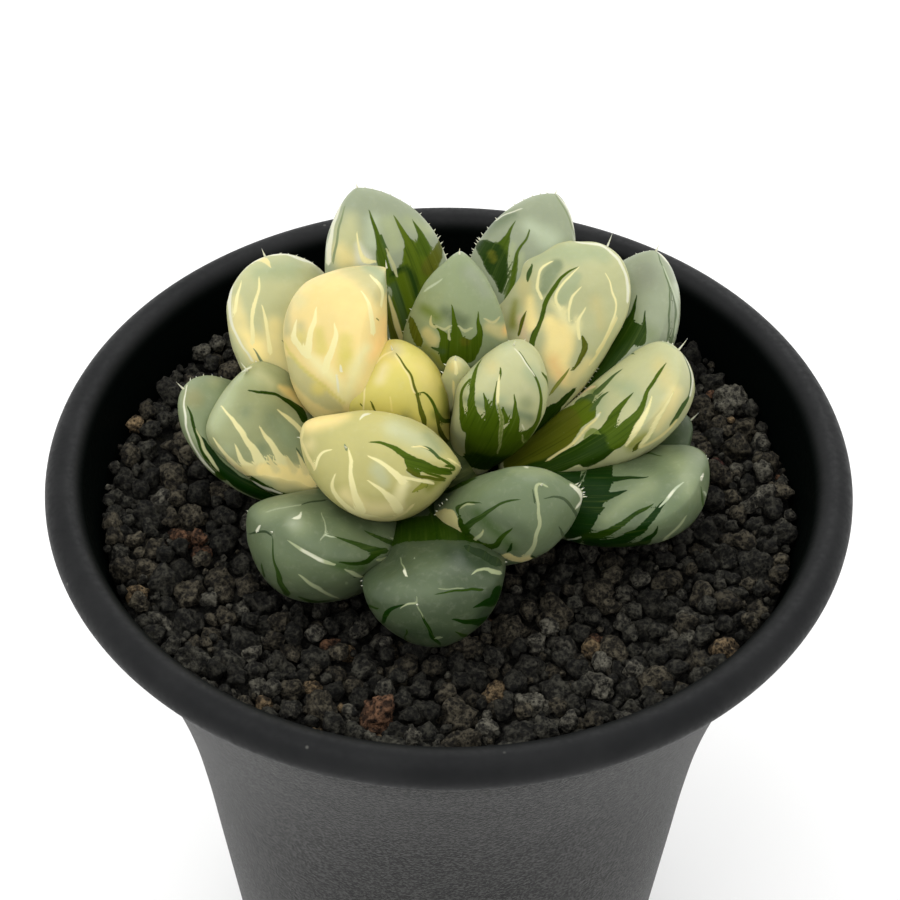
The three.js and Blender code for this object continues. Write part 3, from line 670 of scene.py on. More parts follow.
            ("painted_glow", 262, 470, 4.5, 280, 472, 6.5, 298, 475, 6, 312, 483, 5),
            ("cream", 268, 456, .6, 272, 464, 2.4, 276, 470, 3),
            ("cream", 287, 456, .6, 290, 463, 2.2, 294, 470, 3),
            ("cream", 297, 452, .5, 301, 462, 1.8, 306, 472, 3),
            ("cream", 225, 457, .4, 230, 465, 1.2, 238, 472, 2),
            ("white", 251, 367, .8, 238, 373, 1, 226, 380, 1.3, 216, 390, 1.1, 209, 402, .9,
             203, 415, .7),
            ("white", 205, 442, .7, 215, 457, 1, 228, 469, 1.3, 245, 479, 1.3, 262, 487, 1.1,
             281, 493, 1),
        ],
    ),
    "leaf_outer_left": dict(
        ground="sage", under="green",
        soft=[
            ("drab", 7, 194, 398, 9), ("meadow", 7, 215, 380, 6), ("sage", 8, 188, 425, 6),
            ("jade", 6, 206, 460, 5),
        ],
        dark=[
            ("dark", 188, 406, .7, 191, 418, 1.5, 195, 428, 1.7, 199, 439, 2.8, 205, 452, 4,
             213, 466, 5, 222, 476, 5),
            ("deep", 202, 438, 1.2, 211, 454, 3.8, 224, 470, 5.4, 245, 486, 6.4, 270, 496, 6,
             292, 500, 4),
        ],
        light=[
            ("pale", 197, 430, .6, 203, 446, 1.4, 211, 460, 1.8, 219, 470, 1),
            ("white", 187, 386, .5, 184.5, 405, .9, 186, 425, 1, 192, 443, 1, 202, 460, 1.1,
             214, 473, 1),
        ],
    ),
    "leaf_inner_front_left": dict(
        ground="sand", under="butter",
        soft=[
            ("pale", 10, 395, 428, 10, 428, 445, 9),
            ("peach", 8, 308, 425, 7, 328, 419, 7, 345, 416, 3), ("cream", 8, 308, 445, 5),
            ("meadow", 8, 428, 436, 5, 438, 448, 5), ("pale", 6, 378, 470, 8, 384, 482, 5),
            ("cream", 7, 345, 495, 7, 368, 510, 8, 398, 508, 7), ("ivory", 5, 404, 484, 5, 398, 498, 6),
            ("olive", 5, 428, 487, 4, 440, 480, 4), ("pale", 5, 415, 470, 6),
        ],
        dark=[
            ("green", 370, 442, .6, 382, 443, 1.4, 392, 447, 2, 402, 453, 3, 410, 458, 4, 420, 464, 5,
             432, 469, 4.2, 448, 472, 3), ("green", 406, 462, 1.4, 411, 468, 3, 417, 472, 3.2),
            ("khaki", 408, 470, 1.6, 418, 475, 1.6, 430, 478, 1.6, 443, 480, 1.6),
            ("fern", 416, 446, .5, 426, 448, 1.5, 433, 452, 1.6, 439, 458, 1.4),
            ("sage", 344.5, 445.5, 1, 346.5, 449, 1.5),
            ("green", 440, 458, 1, 446, 462, 1.6, 453, 468, 1.6),
            ("olive", 419, 489, 2, 425, 484, 2.4, 414, 492, 1.2),
        ],
        light=[
            ("ivory", 349, 449.5, .7, 351, 460, 1.8, 350, 472, 2, 352, 485, 2.7, 356, 498, 3.2,
             362, 511, 4), ("ivory", 331, 450, .6, 322, 453, 1.3, 317, 460, 1.5, 315, 469, 1),
            ("ivory", 335, 474.5, .6, 332, 483, 1.4, 334, 492, 1.9, 341, 502, 2.2, 352, 511, 2.6,
             366, 517, 3, 381, 520, 2.4),
            ("ivory", 368, 456, .6, 378, 461, 1.6, 386, 466, 2.1, 394, 473, 3, 402, 481, 4),
            ("ivory", 369, 481, .6, 378, 487, 1.8, 386, 494, 2.8, 394, 502, 4.2, 398, 509, 5),
            # Painted highlights: the two white strokes along its top edge, at about y 413 to 419
            ("white", 360, 419, .6, 364, 415, 1.4, 370, 413.5, .9),
            ("white", 391, 413, .7, 399, 412.5, .8),
            ("cream", 303, 417, .7, 303, 430, 1.3, 302, 442, 1.3, 308, 455, 1.3, 314, 469, 1),
            ("cream", 413, 447, .6, 420, 446.5, 1, 427, 449, .5),
            ("cream", 449, 459, .9, 454, 463, 1, 463, 467, .8),
            ("ivory", 400, 478, 2, 412, 478, 1.4, 424, 481, 2, 433, 483, 1.3),
            ("cream", 371, 519, 1.4, 390, 519, 1.4, 402, 514, 1.3, 413, 505, 1),
        ],
    ),
    "leaf_inner_front_right": dict(
        ground="jade", under="moss",
        soft=[
            ("sage", 7, 512, 470, 3, 535, 470, 5, 552, 474, 3),
            ("moss", 9, 470, 515, 5, 500, 522, 9, 525, 535, 8), ("jade", 8, 510, 490, 9),
            ("jade", 8, 558, 530, 8), ("fern", 7, 476, 512, 3, 512, 548, 4),
        ],
        dark=[
            ("dark", 446, 484, 9, 466, 472, 11, 488, 460, 11),
            ("bottle", 519.5, 500, .4, 510, 500.5, 1.2, 502, 503, 1.4, 494, 508, 1.6, 487, 512, 2,
             481, 517, 2.2, 474, 521, 2.7, 467, 527, 3.6),
            ("bottle", 480, 503, .4, 472, 502.5, .9, 464, 504, 1, 457, 508, 1.8, 458, 514, 1),
            ("dark", 511.5, 528.5, .5, 506, 533, 1.6, 501, 539, 2.4, 496, 545, 3, 488, 547.5, 3.4,
             480, 545, 3.6, 472, 540, 3.8, 466, 533, 4, 461, 526, 3.4, 460, 519, 2),
            ("deep", 512, 545, 1.1, 510, 549, 1.8, 508, 551, 1),
            ("pine", 545, 498, .4, 555, 496, 1, 564, 499, 1.4, 571, 506, 1.4, 576, 514, 1.4,
             578, 523, 1), ("pine", 560, 527, .5, 563, 535, 1.6, 567, 543, 1),
            ("deep", 533, 557, 1.4, 537, 559.5, 1.4), ("pine", 533.5, 491, .4, 534.5, 502, 1),
        ],
        light=[
            ("butter", 431, 521, 2.6, 440, 517, 6, 448, 517, 8, 452, 525, 6, 458, 532, 3.6),
            ("light", 548, 486.5, .6, 541, 483.5, 1.2, 537, 486, 1.4, 536.5, 495, 1.3, 538, 505, 1.4,
             539, 515, 1.7, 539.5, 524, 1.9, 537, 533, 1.9, 535, 543, 1.8, 531, 551, 2.2,
             526, 558, 2.8),
            ("cream", 501, 556, .8, 508, 556, 3, 514, 559, 2.4, 522, 560, 2.4, 530, 558, 1.6),
            ("white", 571, 484, .8, 576, 488, 1.8, 580, 493, 1.7, 581, 500, 1.2, 578, 505, 1.4,
             576, 508, .9), ("light", 461, 507, .5, 467, 504.5, .9, 473, 504, .4),
            ("light", 483, 530.5, .5, 480, 536, 1.6, 474, 540, 1.3),
            # Painted highlight: the white dot at its top, at about x 526, y 467
            ("white", 524.5, 466.5, 1, 527.5, 467, 1.1), ("light", 550, 552, 1.4, 553, 550, 1),
        ],
        teeth=[(.3, .6, (434, 517, 441, 506, 450, 498)), (.5, .45, (579, 480, 583, 487, 584, 496))],
    ),
    "leaf_front_right": dict(
        ground="jade", under="green",
        soft=[
            # Painted sheen: the grey patch at the top right, at about x 695, y 445
            ("sage", 12, 682, 465, 12, 690, 490, 8), ("grey", 13, 690, 438, 5, 702, 456, 4),
            # Painted light: the sage patch at about x 668, y 447 lifts the shade that the leaf above
            # casts
            ("sage", 8, 668, 447, 6), ("jade", 9, 668, 474, 5),
            ("sage", 9, 648, 487, 8, 625, 502, 6, 606, 519, 5), ("moss", 6, 628, 463, 6, 650, 462, 7),
            ("moss", 12, 698, 530, 10), ("jade", 7, 662, 535, 5, 672, 512, 5),
            ("moss", 6, 640, 518, 5, 622, 535, 3),
        ],
        dark=[
            ("deep", 470, 478, 14, 515, 478, 14, 560, 475, 12),
            ("deep", 603, 460, 9, 599, 476, 14, 595, 492, 13, 590, 506, 11, 586, 520, 9, 580, 532, 7),
            ("deep", 572, 462, 9, 569, 490, 11, 571, 515, 11, 574, 538, 8),
            ("deep", 612, 479, 2.6, 622, 478.5, 2, 634, 478, 1.3, 647, 477, .5),
            ("deep", 604, 497, 4.4, 612, 494.5, 3, 620, 492, 1.9, 626.5, 490, .6),
            ("deep", 590, 514, 4.4, 597, 511, 3, 603, 508, .9),
            ("dark", 652.5, 504, .5, 643, 510, 1.8, 632, 517, 2.2, 622, 524, 2.6, 612, 530, 3.2,
             600, 535, 3.8, 586, 538, 4),
            ("deep", 668.5, 496.5, .6, 662, 504, 2.2, 656, 512, 3, 650, 520, 3.5, 641, 529, 4.2,
             630, 536, 4.8, 618, 542, 4.8, 604, 544, 4.6, 588, 543, 4),
            ("deep", 657, 527.5, .6, 653, 535, 2.6, 645, 542, 3.6, 635, 547, 4, 620, 549, 3),
            ("fern", 663, 442, .5, 652, 443, 1, 642, 447, 1.5),
            ("bottle", 661, 456, .5, 650, 453, 1, 638, 453, 1.4, 626, 456, 2, 614, 461, 3),
            ("fern", 701, 487, .4, 703, 500, 1, 706, 513, 1.6),
        ],
        light=[
            # Painted glints: the mist stroke here and the first white stroke on the next line
            ("mist", 683, 483, .5, 676, 488, 1.2, 670, 495, 1.5, 664, 502, 1.2, 660, 506, .6),
            ("white", 673, 491, .6, 669, 496, 1.1), ("white", 702.5, 474.5, 1, 701, 479.5, 1.2),
            ("mist", 705, 493.5, 1.3, 706, 494.5, 1.2), ("sage", 679, 464, 1.2),
            ("light", 686, 516.5, .5, 680, 524, 1.2, 672, 532, 1.3, 663, 541, 1.2),
            ("light", 628, 550, .8, 645, 549, 1.6, 660, 547, 2, 674, 543, 1.4, 688, 536, .8),
            ("mist", 566, 540, .7, 580, 537, .9),
        ],
    ),
    # Its ground is its own green, darkened by painted shade as a low leaf at the front
    "leaf_front": dict(
        ground="pine", under="pine",
        soft=[
            # Painted sheen: the moss patch at about x 433, y 569
            ("moss", 14, 400, 590, 8, 432, 592, 12), ("moss", 14, 424, 570, 5, 442, 568, 4),
            # Painted shade under the leaf above: the ink stroke at about x 465, y 556
            ("ink", 10, 450, 550, 8, 478, 562, 7), ("pine", 10, 385, 612, 6),
            ("ink", 10, 405, 632, 5, 445, 636, 5), ("pine", 10, 470, 600, 8),
            ("ink", 8, 490, 600, 8, 484, 625, 7),
        ],
        dark=[
            ("dark", 440, 505, 12, 465, 485, 14, 490, 475, 10),
            # Dark neck, and right of about x 440 painted shadow under the leaf above
            ("dark", 385, 538, 11, 402, 531, 11, 425, 528, 12, 450, 528, 12, 478, 534, 9, 503, 549, 4),
            ("deep", 383, 622, 2, 386, 614, 2.8, 391, 609, 2, 400, 606, 1.1, 406, 605, .5),
            ("deep", 420, 611, .6, 424, 620, 1.3, 429, 630, 1.8, 434, 638, 1.8, 440, 644, 1.2),
            ("dark", 436, 594.5, .4, 450, 591, 1, 465, 590, 1.2, 482, 589, 1.4),
            ("deep", 474, 607.5, .8, 484, 604, 3, 494, 600, 5, 498, 590, 5),
            ("deep", 454, 618.5, .8, 466, 622, 2.4, 478, 622, 3.2, 492, 618, 4),
            ("dark", 456, 632.5, .6, 465, 636, 1.5, 475, 634, 1), ("dark", 367, 606, 1.4, 377, 608, .9),
            # The ink stroke here is painted shadow under the leaf above
            ("dark", 405, 641, .8, 407, 631, .8), ("ink", 468, 548, 3, 485, 556, 4, 498, 563, 4),
        ],
        light=[
            ("light", 401, 608, .4, 408, 604, .9, 416, 602.5, .9),
            ("sage", 416.5, 597, .4, 418, 606, .6, 423, 617, .6),
            ("light", 473, 574.5, .7, 478, 571, 1.2, 486, 568.5, 1.7, 492, 571, 2.6, 499, 573, 1.8),
            # Painted glints: the white dot at about x 405, y 573 and the mist dot at about x 415, y 558
            ("white", 404.5, 571, 1.6, 406, 575, 1), ("sage", 401, 559, .4, 404, 568, .6),
            ("mist", 415, 558.5, .9), ("sage", 437, 637.5, 1.1, 440, 637, 1.1),
            ("sage", 440, 589, .4, 463, 588, .5), ("moss", 464, 629, 1),
        ],
    ),
    # Its ground is its own green, darkened by painted shade as a low leaf at the front
    "leaf_front_left": dict(
        ground="reed", under="pine",
        soft=[
            # Painted sheen: the sage and grey patches along its top, at about y 505 to 525
            ("sage", 12, 264, 512, 6, 286, 506, 6), ("sage", 14, 300, 524, 9),
            ("jade", 10, 272, 545, 7, 288, 560, 6), ("pine", 8, 338, 512, 6, 368, 527, 8),
            ("moss", 8, 262, 562, 5, 270, 580, 5), ("moss", 12, 318, 584, 8, 300, 594, 6),
            ("moss", 8, 340, 551, 8), ("fern", 5, 328, 562, 2, 345, 567, 4, 362, 568, 4),
            ("grey", 8, 294, 524, 5),
        ],
        dark=[
            ("ink", 250, 534.5, .6, 258, 532, 1.2, 266, 532, 1.2, 271, 535, .8),
            ("bottle", 272.5, 538, .5, 273, 552, .8, 274, 562, 1.2, 277, 572, 2, 281, 582, 3,
             287, 593, 3),
            ("bottle", 335, 536.5, .5, 345, 540, 1.4, 354, 543, 2, 364, 547, 2.7, 374, 550, 3.6,
             385, 551, 3),
            ("bottle", 365, 530.5, .5, 374, 535, 1.6, 383, 539, 2.2, 392, 543, 2.5, 401, 547, 2.5),
            ("dark", 340, 562.5, .6, 350, 563.5, 1.6, 360, 563, 2.3, 368, 561, 2.8, 374, 556, 3.4,
             379, 551, 3), ("ink", 302, 505, .4, 312, 502, .8, 326, 500, .8),
            ("bottle", 261.5, 565, .7, 264, 576, 1.3),
            ("bottle", 299, 596.5, .8, 315, 602.5, 1.6, 330, 601.5, 1),
            ("ink", 354, 577, .5, 368, 575, 2, 380, 568, 2.8, 389, 562, 2),
        ],
        light=[
            ("light", 289, 541.5, .5, 298, 547, 1.2, 306, 552, 1.6, 313, 556, 1.8, 322, 561, 2.2,
             334, 565, 1), ("white", 303, 550, .5, 311, 555, .9, 317, 559, 1.4, 321, 561, .8),
            ("light", 299, 574.5, .6, 306, 580, 1.4, 313, 585, 1.7, 320, 589, 1.7, 328, 594, 1.3,
             338, 598, .7), ("light", 346, 570.5, .8, 354, 574, 1.9, 361, 576.5, 1.1),
            # Painted glint: the white stroke at about x 298, y 517
            ("white", 294, 518, 1, 299, 517, 1.8, 301, 514, .9),
            ("white", 257.5, 530.5, 1.5, 260, 526, 1.1), ("mist", 272, 532, .9), ("mist", 357, 520, .8),
            ("grey", 321, 539, .5, 325, 533, .9, 325, 525, .5, 322, 514, .4),
            # Painted glint: the mist stroke at about x 330, y 535
            ("mist", 325, 534, .8, 330, 536, .8, 335, 537, .5),
            ("light", 378, 560.5, 1.3, 386, 559, 2.1, 392, 557.5, 2), ("sage", 346, 583, 1.5),
            ("grey", 266, 513, .4, 280, 508, .6, 301, 505.5, .5),
            ("light", 391, 538, .5, 400, 541, 1, 406, 546, .8),
        ],
    ),
    "leaf_outer_right": dict(ground="pine", under="fern"),
}
# What a leaf that isn't in the table has, and what its marking leaves out
PLAIN_MARKING = dict(ground="sage", under="green", soft=[], dark=[], light=[], teeth=[])

# Stones that stand out in the photograph: x, y, radius in millimetres and tint
STONE_TINTS = {
    "dark": (0.024, 0.024, 0.021),
    "brown": (0.043, 0.039, 0.030),
    "tan": (0.115, 0.085, 0.052),
    "rust": (0.088, 0.048, 0.030),
    "grey": (0.058, 0.057, 0.050),
    "red": (0.060, 0.026, 0.021),
}
NAMED_STONES = [
    (510, 625, 2.3, "brown"), (380, 712, 2.2, "rust"), (318, 706, 2.1, "brown"), (312, 683, 1.3, "tan"),
    (497, 685, 1.5, "tan"), (708, 590, 1.9, "brown"), (402, 664, 1.9, "brown"), (460, 712, 2.2, "brown"),
    (176, 530, 1.6, "rust"), (198, 546, 1.3, "rust"), (138, 586, 1.3, "tan"), (168, 472, 1.8, "brown"),
    (136, 482, 0.9, "tan"), (253, 683, 1.4, "grey"), (530, 662, 1.9, "dark"), (220, 510, 1.7, "dark"),
    (328, 637, 1.3, "rust"), (347, 612, 1.5, "dark"), (222, 612, 1.5, "brown"), (720, 457, 1.2, "red"),
    (766, 455, 1.7, "brown"), (745, 420, 1.5, "brown"), (262, 700, 1.2, "tan"), (650, 620, 1.7, "dark"),
    (560, 570, 1.8, "dark"), (626, 584, 1.3, "grey"), (240, 555, 1.8, "dark"), (735, 490, 1.3, "brown"),
    (190, 335, 1.6, "dark"), (365, 655, 1.4, "dark"), (440, 680, 1.4, "dark"), (575, 700, 1.4, "dark"),
]


def new_object(name, data):
    """An object in the scene."""
    item = bpy.data.objects.new(name, data)
    bpy.context.scene.collection.objects.link(item)
    return item


# Camera

def pixel_ray(x, y):
    """Direction in which the camera sees a pixel of the photograph."""
    right, down = x - AXIS_PIXEL[0], y - AXIS_PIXEL[1]
    cos_r, sin_r = math.cos(CAMERA_ROLL), math.sin(CAMERA_ROLL)
    u = right * cos_r + down * sin_r
    v = right * sin_r - down * cos_r
    ray = CAMERA_RIGHT * u + CAMERA_UP * v + CAMERA_FORWARD * FOCAL_PIXELS
    return ray / np.linalg.norm(ray)


def point_at_height(x, y, height):
    """Where the camera's ray through a pixel meets a level plane."""
    ray = pixel_ray(x, y)
    return CAMERA_PLACE + ray * (height - CAMERA_PLACE[2]) / ray[2]


def make_camera():
    """The photograph's camera."""
    data = bpy.data.cameras.new("camera")
    data.sensor_width = SENSOR_WIDTH
    data.lens = SENSOR_WIDTH * FOCAL_PIXELS / PHOTO_SIZE
    data.shift_x = (PHOTO_SIZE / 2 - AXIS_PIXEL[0]) / PHOTO_SIZE
    data.shift_y = (AXIS_PIXEL[1] - PHOTO_SIZE / 2) / PHOTO_SIZE
    data.clip_start = 0.01
    data.clip_end = 10
    camera = new_object("camera", data)
    aim = Vector(CAMERA_FORWARD).to_track_quat("-Z", "Y").to_matrix().to_4x4()
    place = Matrix.Translation(Vector(CAMERA_PLACE * MM))
    camera.matrix_world = place @ aim @ Matrix.Rotation(CAMERA_ROLL, 4, "Z")
    bpy.context.scene.camera = camera


# Meshes

def set_points(mesh, points):
    """Moves the points of a mesh to places in millimetres."""
    mesh.vertices.foreach_set("co", (np.asarray(points) * MM).astype(np.float32).ravel())


def make_mesh(name, points, faces):
    """A mesh from points in millimetres and lists of triangles and quads."""
    mesh = bpy.data.meshes.new(name)
    sizes = np.concatenate([np.full(len(part), part.shape[1]) for part in faces])
    corners = np.concatenate([part.ravel() for part in faces]).astype(np.int32)
    starts = np.concatenate([[0], np.cumsum(sizes)[:-1]]).astype(np.int32)
    mesh.vertices.add(len(points))
    set_points(mesh, points)
    mesh.loops.add(len(corners))
    mesh.loops.foreach_set("vertex_index", corners)
    mesh.polygons.add(len(sizes))
    mesh.polygons.foreach_set("loop_start", starts)
    mesh.update(calc_edges=True)
    mesh.validate()
    mesh.polygons.foreach_set("use_smooth", np.full(len(sizes), True))
    return mesh


def mesh_points(mesh):
    """The points of a mesh in millimetres."""
    points = np.zeros(len(mesh.vertices) * 3, np.float32)
    mesh.vertices.foreach_get("co", points)
    return points.reshape(-1, 3) / MM


def add_field(mesh, name, values):
    """Stores a number or a colour for each point of a mesh."""
    values = np.asarray(values, np.float32)
    if values.ndim == 1:
        mesh.attributes.new(name, "FLOAT", "POINT").data.foreach_set("value", values)
    else:
        colour = np.concatenate([values, np.ones((len(values), 1), np.float32)], 1)
        mesh.attributes.new(name, "FLOAT_COLOR", "POINT").data.foreach_set("color", colour.ravel())


def add_piece(name, mesh, materials, node=None):
    """Puts a mesh in the scene as a piece of the object."""
    piece = new_object(name, mesh)
    for material in materials:
        mesh.materials.append(material)
    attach(piece, "root")
    if node:
        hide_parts(node)
    return piece


def grid_faces(rows, columns):
    """Quads of a grid of points that closes on itself round its columns."""
    row, column = np.mgrid[0:rows - 1, 0:columns]
    after = (column + 1) % columns
    a, b = row * columns + column, row * columns + after
    c, d = (row + 1) * columns + after, (row + 1) * columns + column
    return np.stack([a, b, c, d], -1).reshape(-1, 4)


def fan_faces(ring, centre, outward):
    """Triangles from a ring of corners to a middle corner."""
    after = np.roll(ring, -1)
    middle = np.full(len(ring), centre)
    order = [ring, after, middle] if outward else [after, ring, middle]
    return np.stack(order, -1)


def closed_faces(rows, columns):
    """Quads of such a grid, and the triangles that close it with two end points that come after it."""
    count = rows * columns
    first = fan_faces(np.arange(columns), count, False)
    last = fan_faces(np.arange(count - columns, count), count + 1, True)
    return grid_faces(rows, columns), np.concatenate([first, last])


def joined(parts):
    """Points of several parts in one row, and their lists of faces with the corners counted on."""
    starts = np.cumsum([0] + [len(part[0]) for part in parts])
    result = [np.concatenate([part[0] for part in parts])]
    for k in range(1, len(parts[0])):
        result.append(np.concatenate([part[k] + start for part, start in zip(parts, starts)]))
    return result


def turned_mesh(name, profile, sides):
    """A closed solid turned about the Z axis from [radius, height] points that start and end on it."""
    profile = np.asarray(profile, float)
    ring = profile[1:-1]
    bearing = np.arange(sides) / sides * 2 * np.pi
    x = ring[:, :1] * np.cos(bearing)
    y = ring[:, :1] * np.sin(bearing)
    z = np.repeat(ring[:, 1:], sides, 1)
    points = np.stack([x, y, z], -1).reshape(-1, 3)
    ends = [[0, 0, profile[0, 1]], [0, 0, profile[-1, 1]]]
    return make_mesh(name, np.concatenate([points, ends]), closed_faces(len(ring), sides))


def waves(points, scale, seed, count=12):
    """A smooth random field of about unit size, from a few plane waves of the given wavelength."""
    random = np.random.default_rng(seed)
    total = np.zeros(len(points))
    for _ in range(count):
        heading = random.normal(size=3)
        heading *= 2 * np.pi / scale * random.uniform(*WAVE_SPREAD) / np.linalg.norm(heading)
        total += np.sin(points @ heading + random.uniform(0, 2 * np.pi))
    return total / math.sqrt(count / 2)


def relief(points, kinds, seed):
    """A sum of such fields, given as wavelength and height."""
    return sum(height * waves(points, length, seed + i) for i, (length, height) in enumerate(kinds))


# Leaves

def outline(along, widest, neck, end, full):
    """Half width or thickness of a leaf along its length, from 0 at the base to 1 at the tip."""
    rising = neck + (1 - neck) * np.sin(np.pi / 2 * np.clip(along / widest, 0, 1)) ** NECK_SWELL
    past = np.clip((along - widest) / (1 - widest), 0, 1)
    closing = np.maximum(1 - past ** end, 0) ** (1 / full)
    return np.where(along < widest, rising, closing)


def shift_share(along, shape):
    """How much of its shift off the middle line a leaf has at a place along its length."""
    widest = shape["widest"]
    rising = np.sin(np.pi / 2 * np.clip(along / widest, 0, 1)) ** 2
    return np.where(along < widest, rising, outline(along, widest, 0, shape["end"], shape["round"]))


def unit(vectors):
    """Vectors of length 1."""
    return vectors / np.linalg.norm(vectors, axis=-1, keepdims=True)


def leaf_axes(shape):
    """The leaf's ends and its own axes: along its length, across it and out of its upper face."""
    base, tip = np.array(shape["base"], float), np.array(shape["tip"], float)
    along = unit(tip - base)
    facing = np.array([0, 0, 1.0])
    if shape["faces"] is not None:
        bearing = math.radians(shape["faces"])
        facing = np.array([-math.cos(bearing), -math.sin(bearing), FACING_LIFT])
    across = unit(np.cross(along, facing))
    roll = math.radians(shape["roll"])
    across = across * math.cos(roll) + np.cross(across, along) * math.sin(roll)
    return base, tip, along, across, np.cross(across, along)


def pushed(name, points):
    """A leaf's points with its small pushes."""
    pixels = pixels_of(points)
    for x, y, right, down, reach in PUSHES.get(name, ()):
        share = np.exp(-(np.linalg.norm(pixels - [x, y], axis=-1) / reach) ** 2)[..., None]
        points = points + share * PIXEL * (right * CAMERA_RIGHT - down * CAMERA_UP)
    return points


def leaf_grid(shape, along, turn):
    """Points of the leaf's skin, as rows along it and columns round it, and its middle line."""
    base, tip, _, across, out = leaf_axes(shape)
    control = (base + tip) / 2 + shape["bow"] * out + shape["side"] * across
    s = along[:, None]
    centre = (1 - s) ** 2 * base + 2 * s * (1 - s) * control + s ** 2 * tip
    heading = unit(2 * (1 - s) * (control - base) + 2 * s * (tip - control))
    sideways = unit(across - (heading @ across)[:, None] * heading)
    outwards = np.cross(sideways, heading)
    shift = shift_share(along, shape)[:, None]
    centre = centre + (shape["sideShift"] * across + shape["liftShift"] * out) * shift
    half_width = shape["width"] / 2 * outline(
        along, shape["widest"], shape["neck"], shape["end"], shape["round"])
    depth = outline(along, THICKEST_AT, BASE_THICKNESS_SHARE, shape["end"], THICKNESS_ROUND)
    upper = turn <= 1
    angle = np.where(upper, turn, turn - 1) * np.pi / 2
    flat = np.abs(np.cos(angle)) ** KEEL_FULLNESS
    deep = np.abs(np.sin(angle)) ** KEEL_FULLNESS
    reach = (flat + deep) ** (-1 / KEEL_FULLNESS)
    x = np.where(upper, np.sin(angle), np.cos(angle) * reach)
    arch = shape["top"] * np.abs(np.cos(angle)) ** ARCH_FULLNESS
    z = np.where(upper, arch, -shape["keel"] * np.sin(angle) * reach)
    skin = centre[:, None] + sideways[:, None] * (half_width[:, None] * x)[..., None]
    skin = skin + outwards[:, None] * (depth[:, None] * z)[..., None]
    return skin, centre


def surface_normals(skin):
    """Outward unit normals of a leaf's grid of points."""
    round_it = np.roll(skin, -1, 1) - np.roll(skin, 1, 1)
    along_it = np.gradient(skin, axis=0)
    normal = np.cross(round_it, along_it)
    return normal / np.maximum(np.linalg.norm(normal, axis=-1, keepdims=True), TINY)


def pixels_of(points):
    """Where the photograph shows points given in millimetres."""
    rel = points - CAMERA_PLACE
    depth = rel @ CAMERA_FORWARD
    u, v = rel @ CAMERA_RIGHT * FOCAL_PIXELS / depth, rel @ CAMERA_UP * FOCAL_PIXELS / depth
    cos_r, sin_r = math.cos(CAMERA_ROLL), math.sin(CAMERA_ROLL)
    return np.stack([AXIS_PIXEL[0] + u * cos_r + v * sin_r, AXIS_PIXEL[1] + u * sin_r - v * cos_r], -1)


def smooth_knots(row):
    """A stroke's places and half widths, with a smooth curve through them."""
    knots = np.array(row, float).reshape(-1, 3)
    if len(knots) < 3:
        return knots if len(knots) == 2 else np.repeat(knots, 2, 0)
    ends = np.concatenate([[2 * knots[0] - knots[1]], knots, [2 * knots[-1] - knots[-2]]])
    points = []
    for p0, p1, p2, p3 in zip(ends[:-3], ends[1:-2], ends[2:-1], ends[3:]):
        for t in np.arange(CURVE_STEPS) / CURVE_STEPS:
            cubic = (2 * p0 - 5 * p1 + 4 * p2 - p3) + t * (3 * (p1 - p2) + p3 - p0)
            points.append(p1 + t * ((p2 - p0) + t * cubic) / 2)
    points = np.array(points + [knots[-1]])
    points[:, 2] = np.maximum(points[:, 2], knots[:, 2].min())
    return points


def nearest_stroke(pixels, row):
    """How far inside a stroke each pixel place lies, with its signed and plain distance from the middle
    line and the half width there. All are in pixels, and the first is negative outside."""
    knots = smooth_knots(row)
    inside = np.full(len(pixels), -FAR_AWAY)
    side, away, half = np.zeros((3, len(pixels)))
    for start, end in zip(knots[:-1], knots[1:]):
        span = end[:2] - start[:2]
        rel = pixels - start[:2]
        share = np.clip(rel @ span / max(span @ span, TINY), 0, 1)
        gap = np.linalg.norm(rel - share[:, None] * span, axis=1)
        width = start[2] + (end[2] - start[2]) * share
        turn = np.where(span[0] * rel[:, 1] - span[1] * rel[:, 0] < 0, -gap, gap)
        closer = width - gap > inside
        for field, values in ((inside, width - gap), (side, turn), (away, gap), (half, width)):
            field[closer] = values[closer]
    return inside, side, away, half


def look(name):
    """A named display colour as the skin's own colour, with the display's standard curve undone."""
    values = np.array(COLOURS[name]) / 255
    return np.where(values <= 0.04045, values / 12.92, ((values + 0.055) / 1.055) ** 2.4) * LIGHT_SHARE


def crisp_strokes(pixels, facing, strokes):
    """The nearest stroke's signed distance, plain distance and half width in millimetres, and the colour
    of the last stroke painted there."""
    nearest = np.tile([0, FAR_AWAY, 0], (len(pixels), 1))
    colour = np.tile(look(strokes[0][0]) if strokes else np.zeros(3), (len(pixels), 1))
    deepest = np.full(len(pixels), -FAR_AWAY)
    for name, *row in strokes:
        inside, side, away, half = nearest_stroke(pixels, row)
        closer = inside > deepest
        deepest[closer] = inside[closer]
        nearest[closer] = np.stack([side, away, half], -1)[closer]
        share = np.clip((inside + COLOUR_BLEED) / (COLOUR_BLEED + COLOUR_FULL), 0, 1)[:, None]
        colour += share * (look(name) - colour)
    nearest = np.clip(nearest * PIXEL, -STROKE_LIMIT, STROKE_LIMIT)
    nearest[:, 2] -= EDGE_FADE * np.maximum(0, EDGE_FACING - facing)
    return nearest, colour


def soft_strokes(pixels, facing, marking, unseen):
    """Ground colour of a leaf with its soft strokes, and that of the sides that the photograph hides."""
    tint = np.tile(look(marking["ground"]), (len(pixels), 1))
    for name, edge, *row in marking["soft"]:
        share = np.clip(nearest_stroke(pixels, row)[0] / (2 * edge) + 0.5, 0, 1)
        share = (share * share * (3 - 2 * share) * np.clip(facing / EDGE_FACING, 0, 1))[:, None]
        tint += share * (look(name) - tint)
    hidden = GROUND_SHARE * look(marking["ground"]) + UNDER_SHARE * look(marking["under"])
    return tint + unseen[:, None] * (hidden - tint)


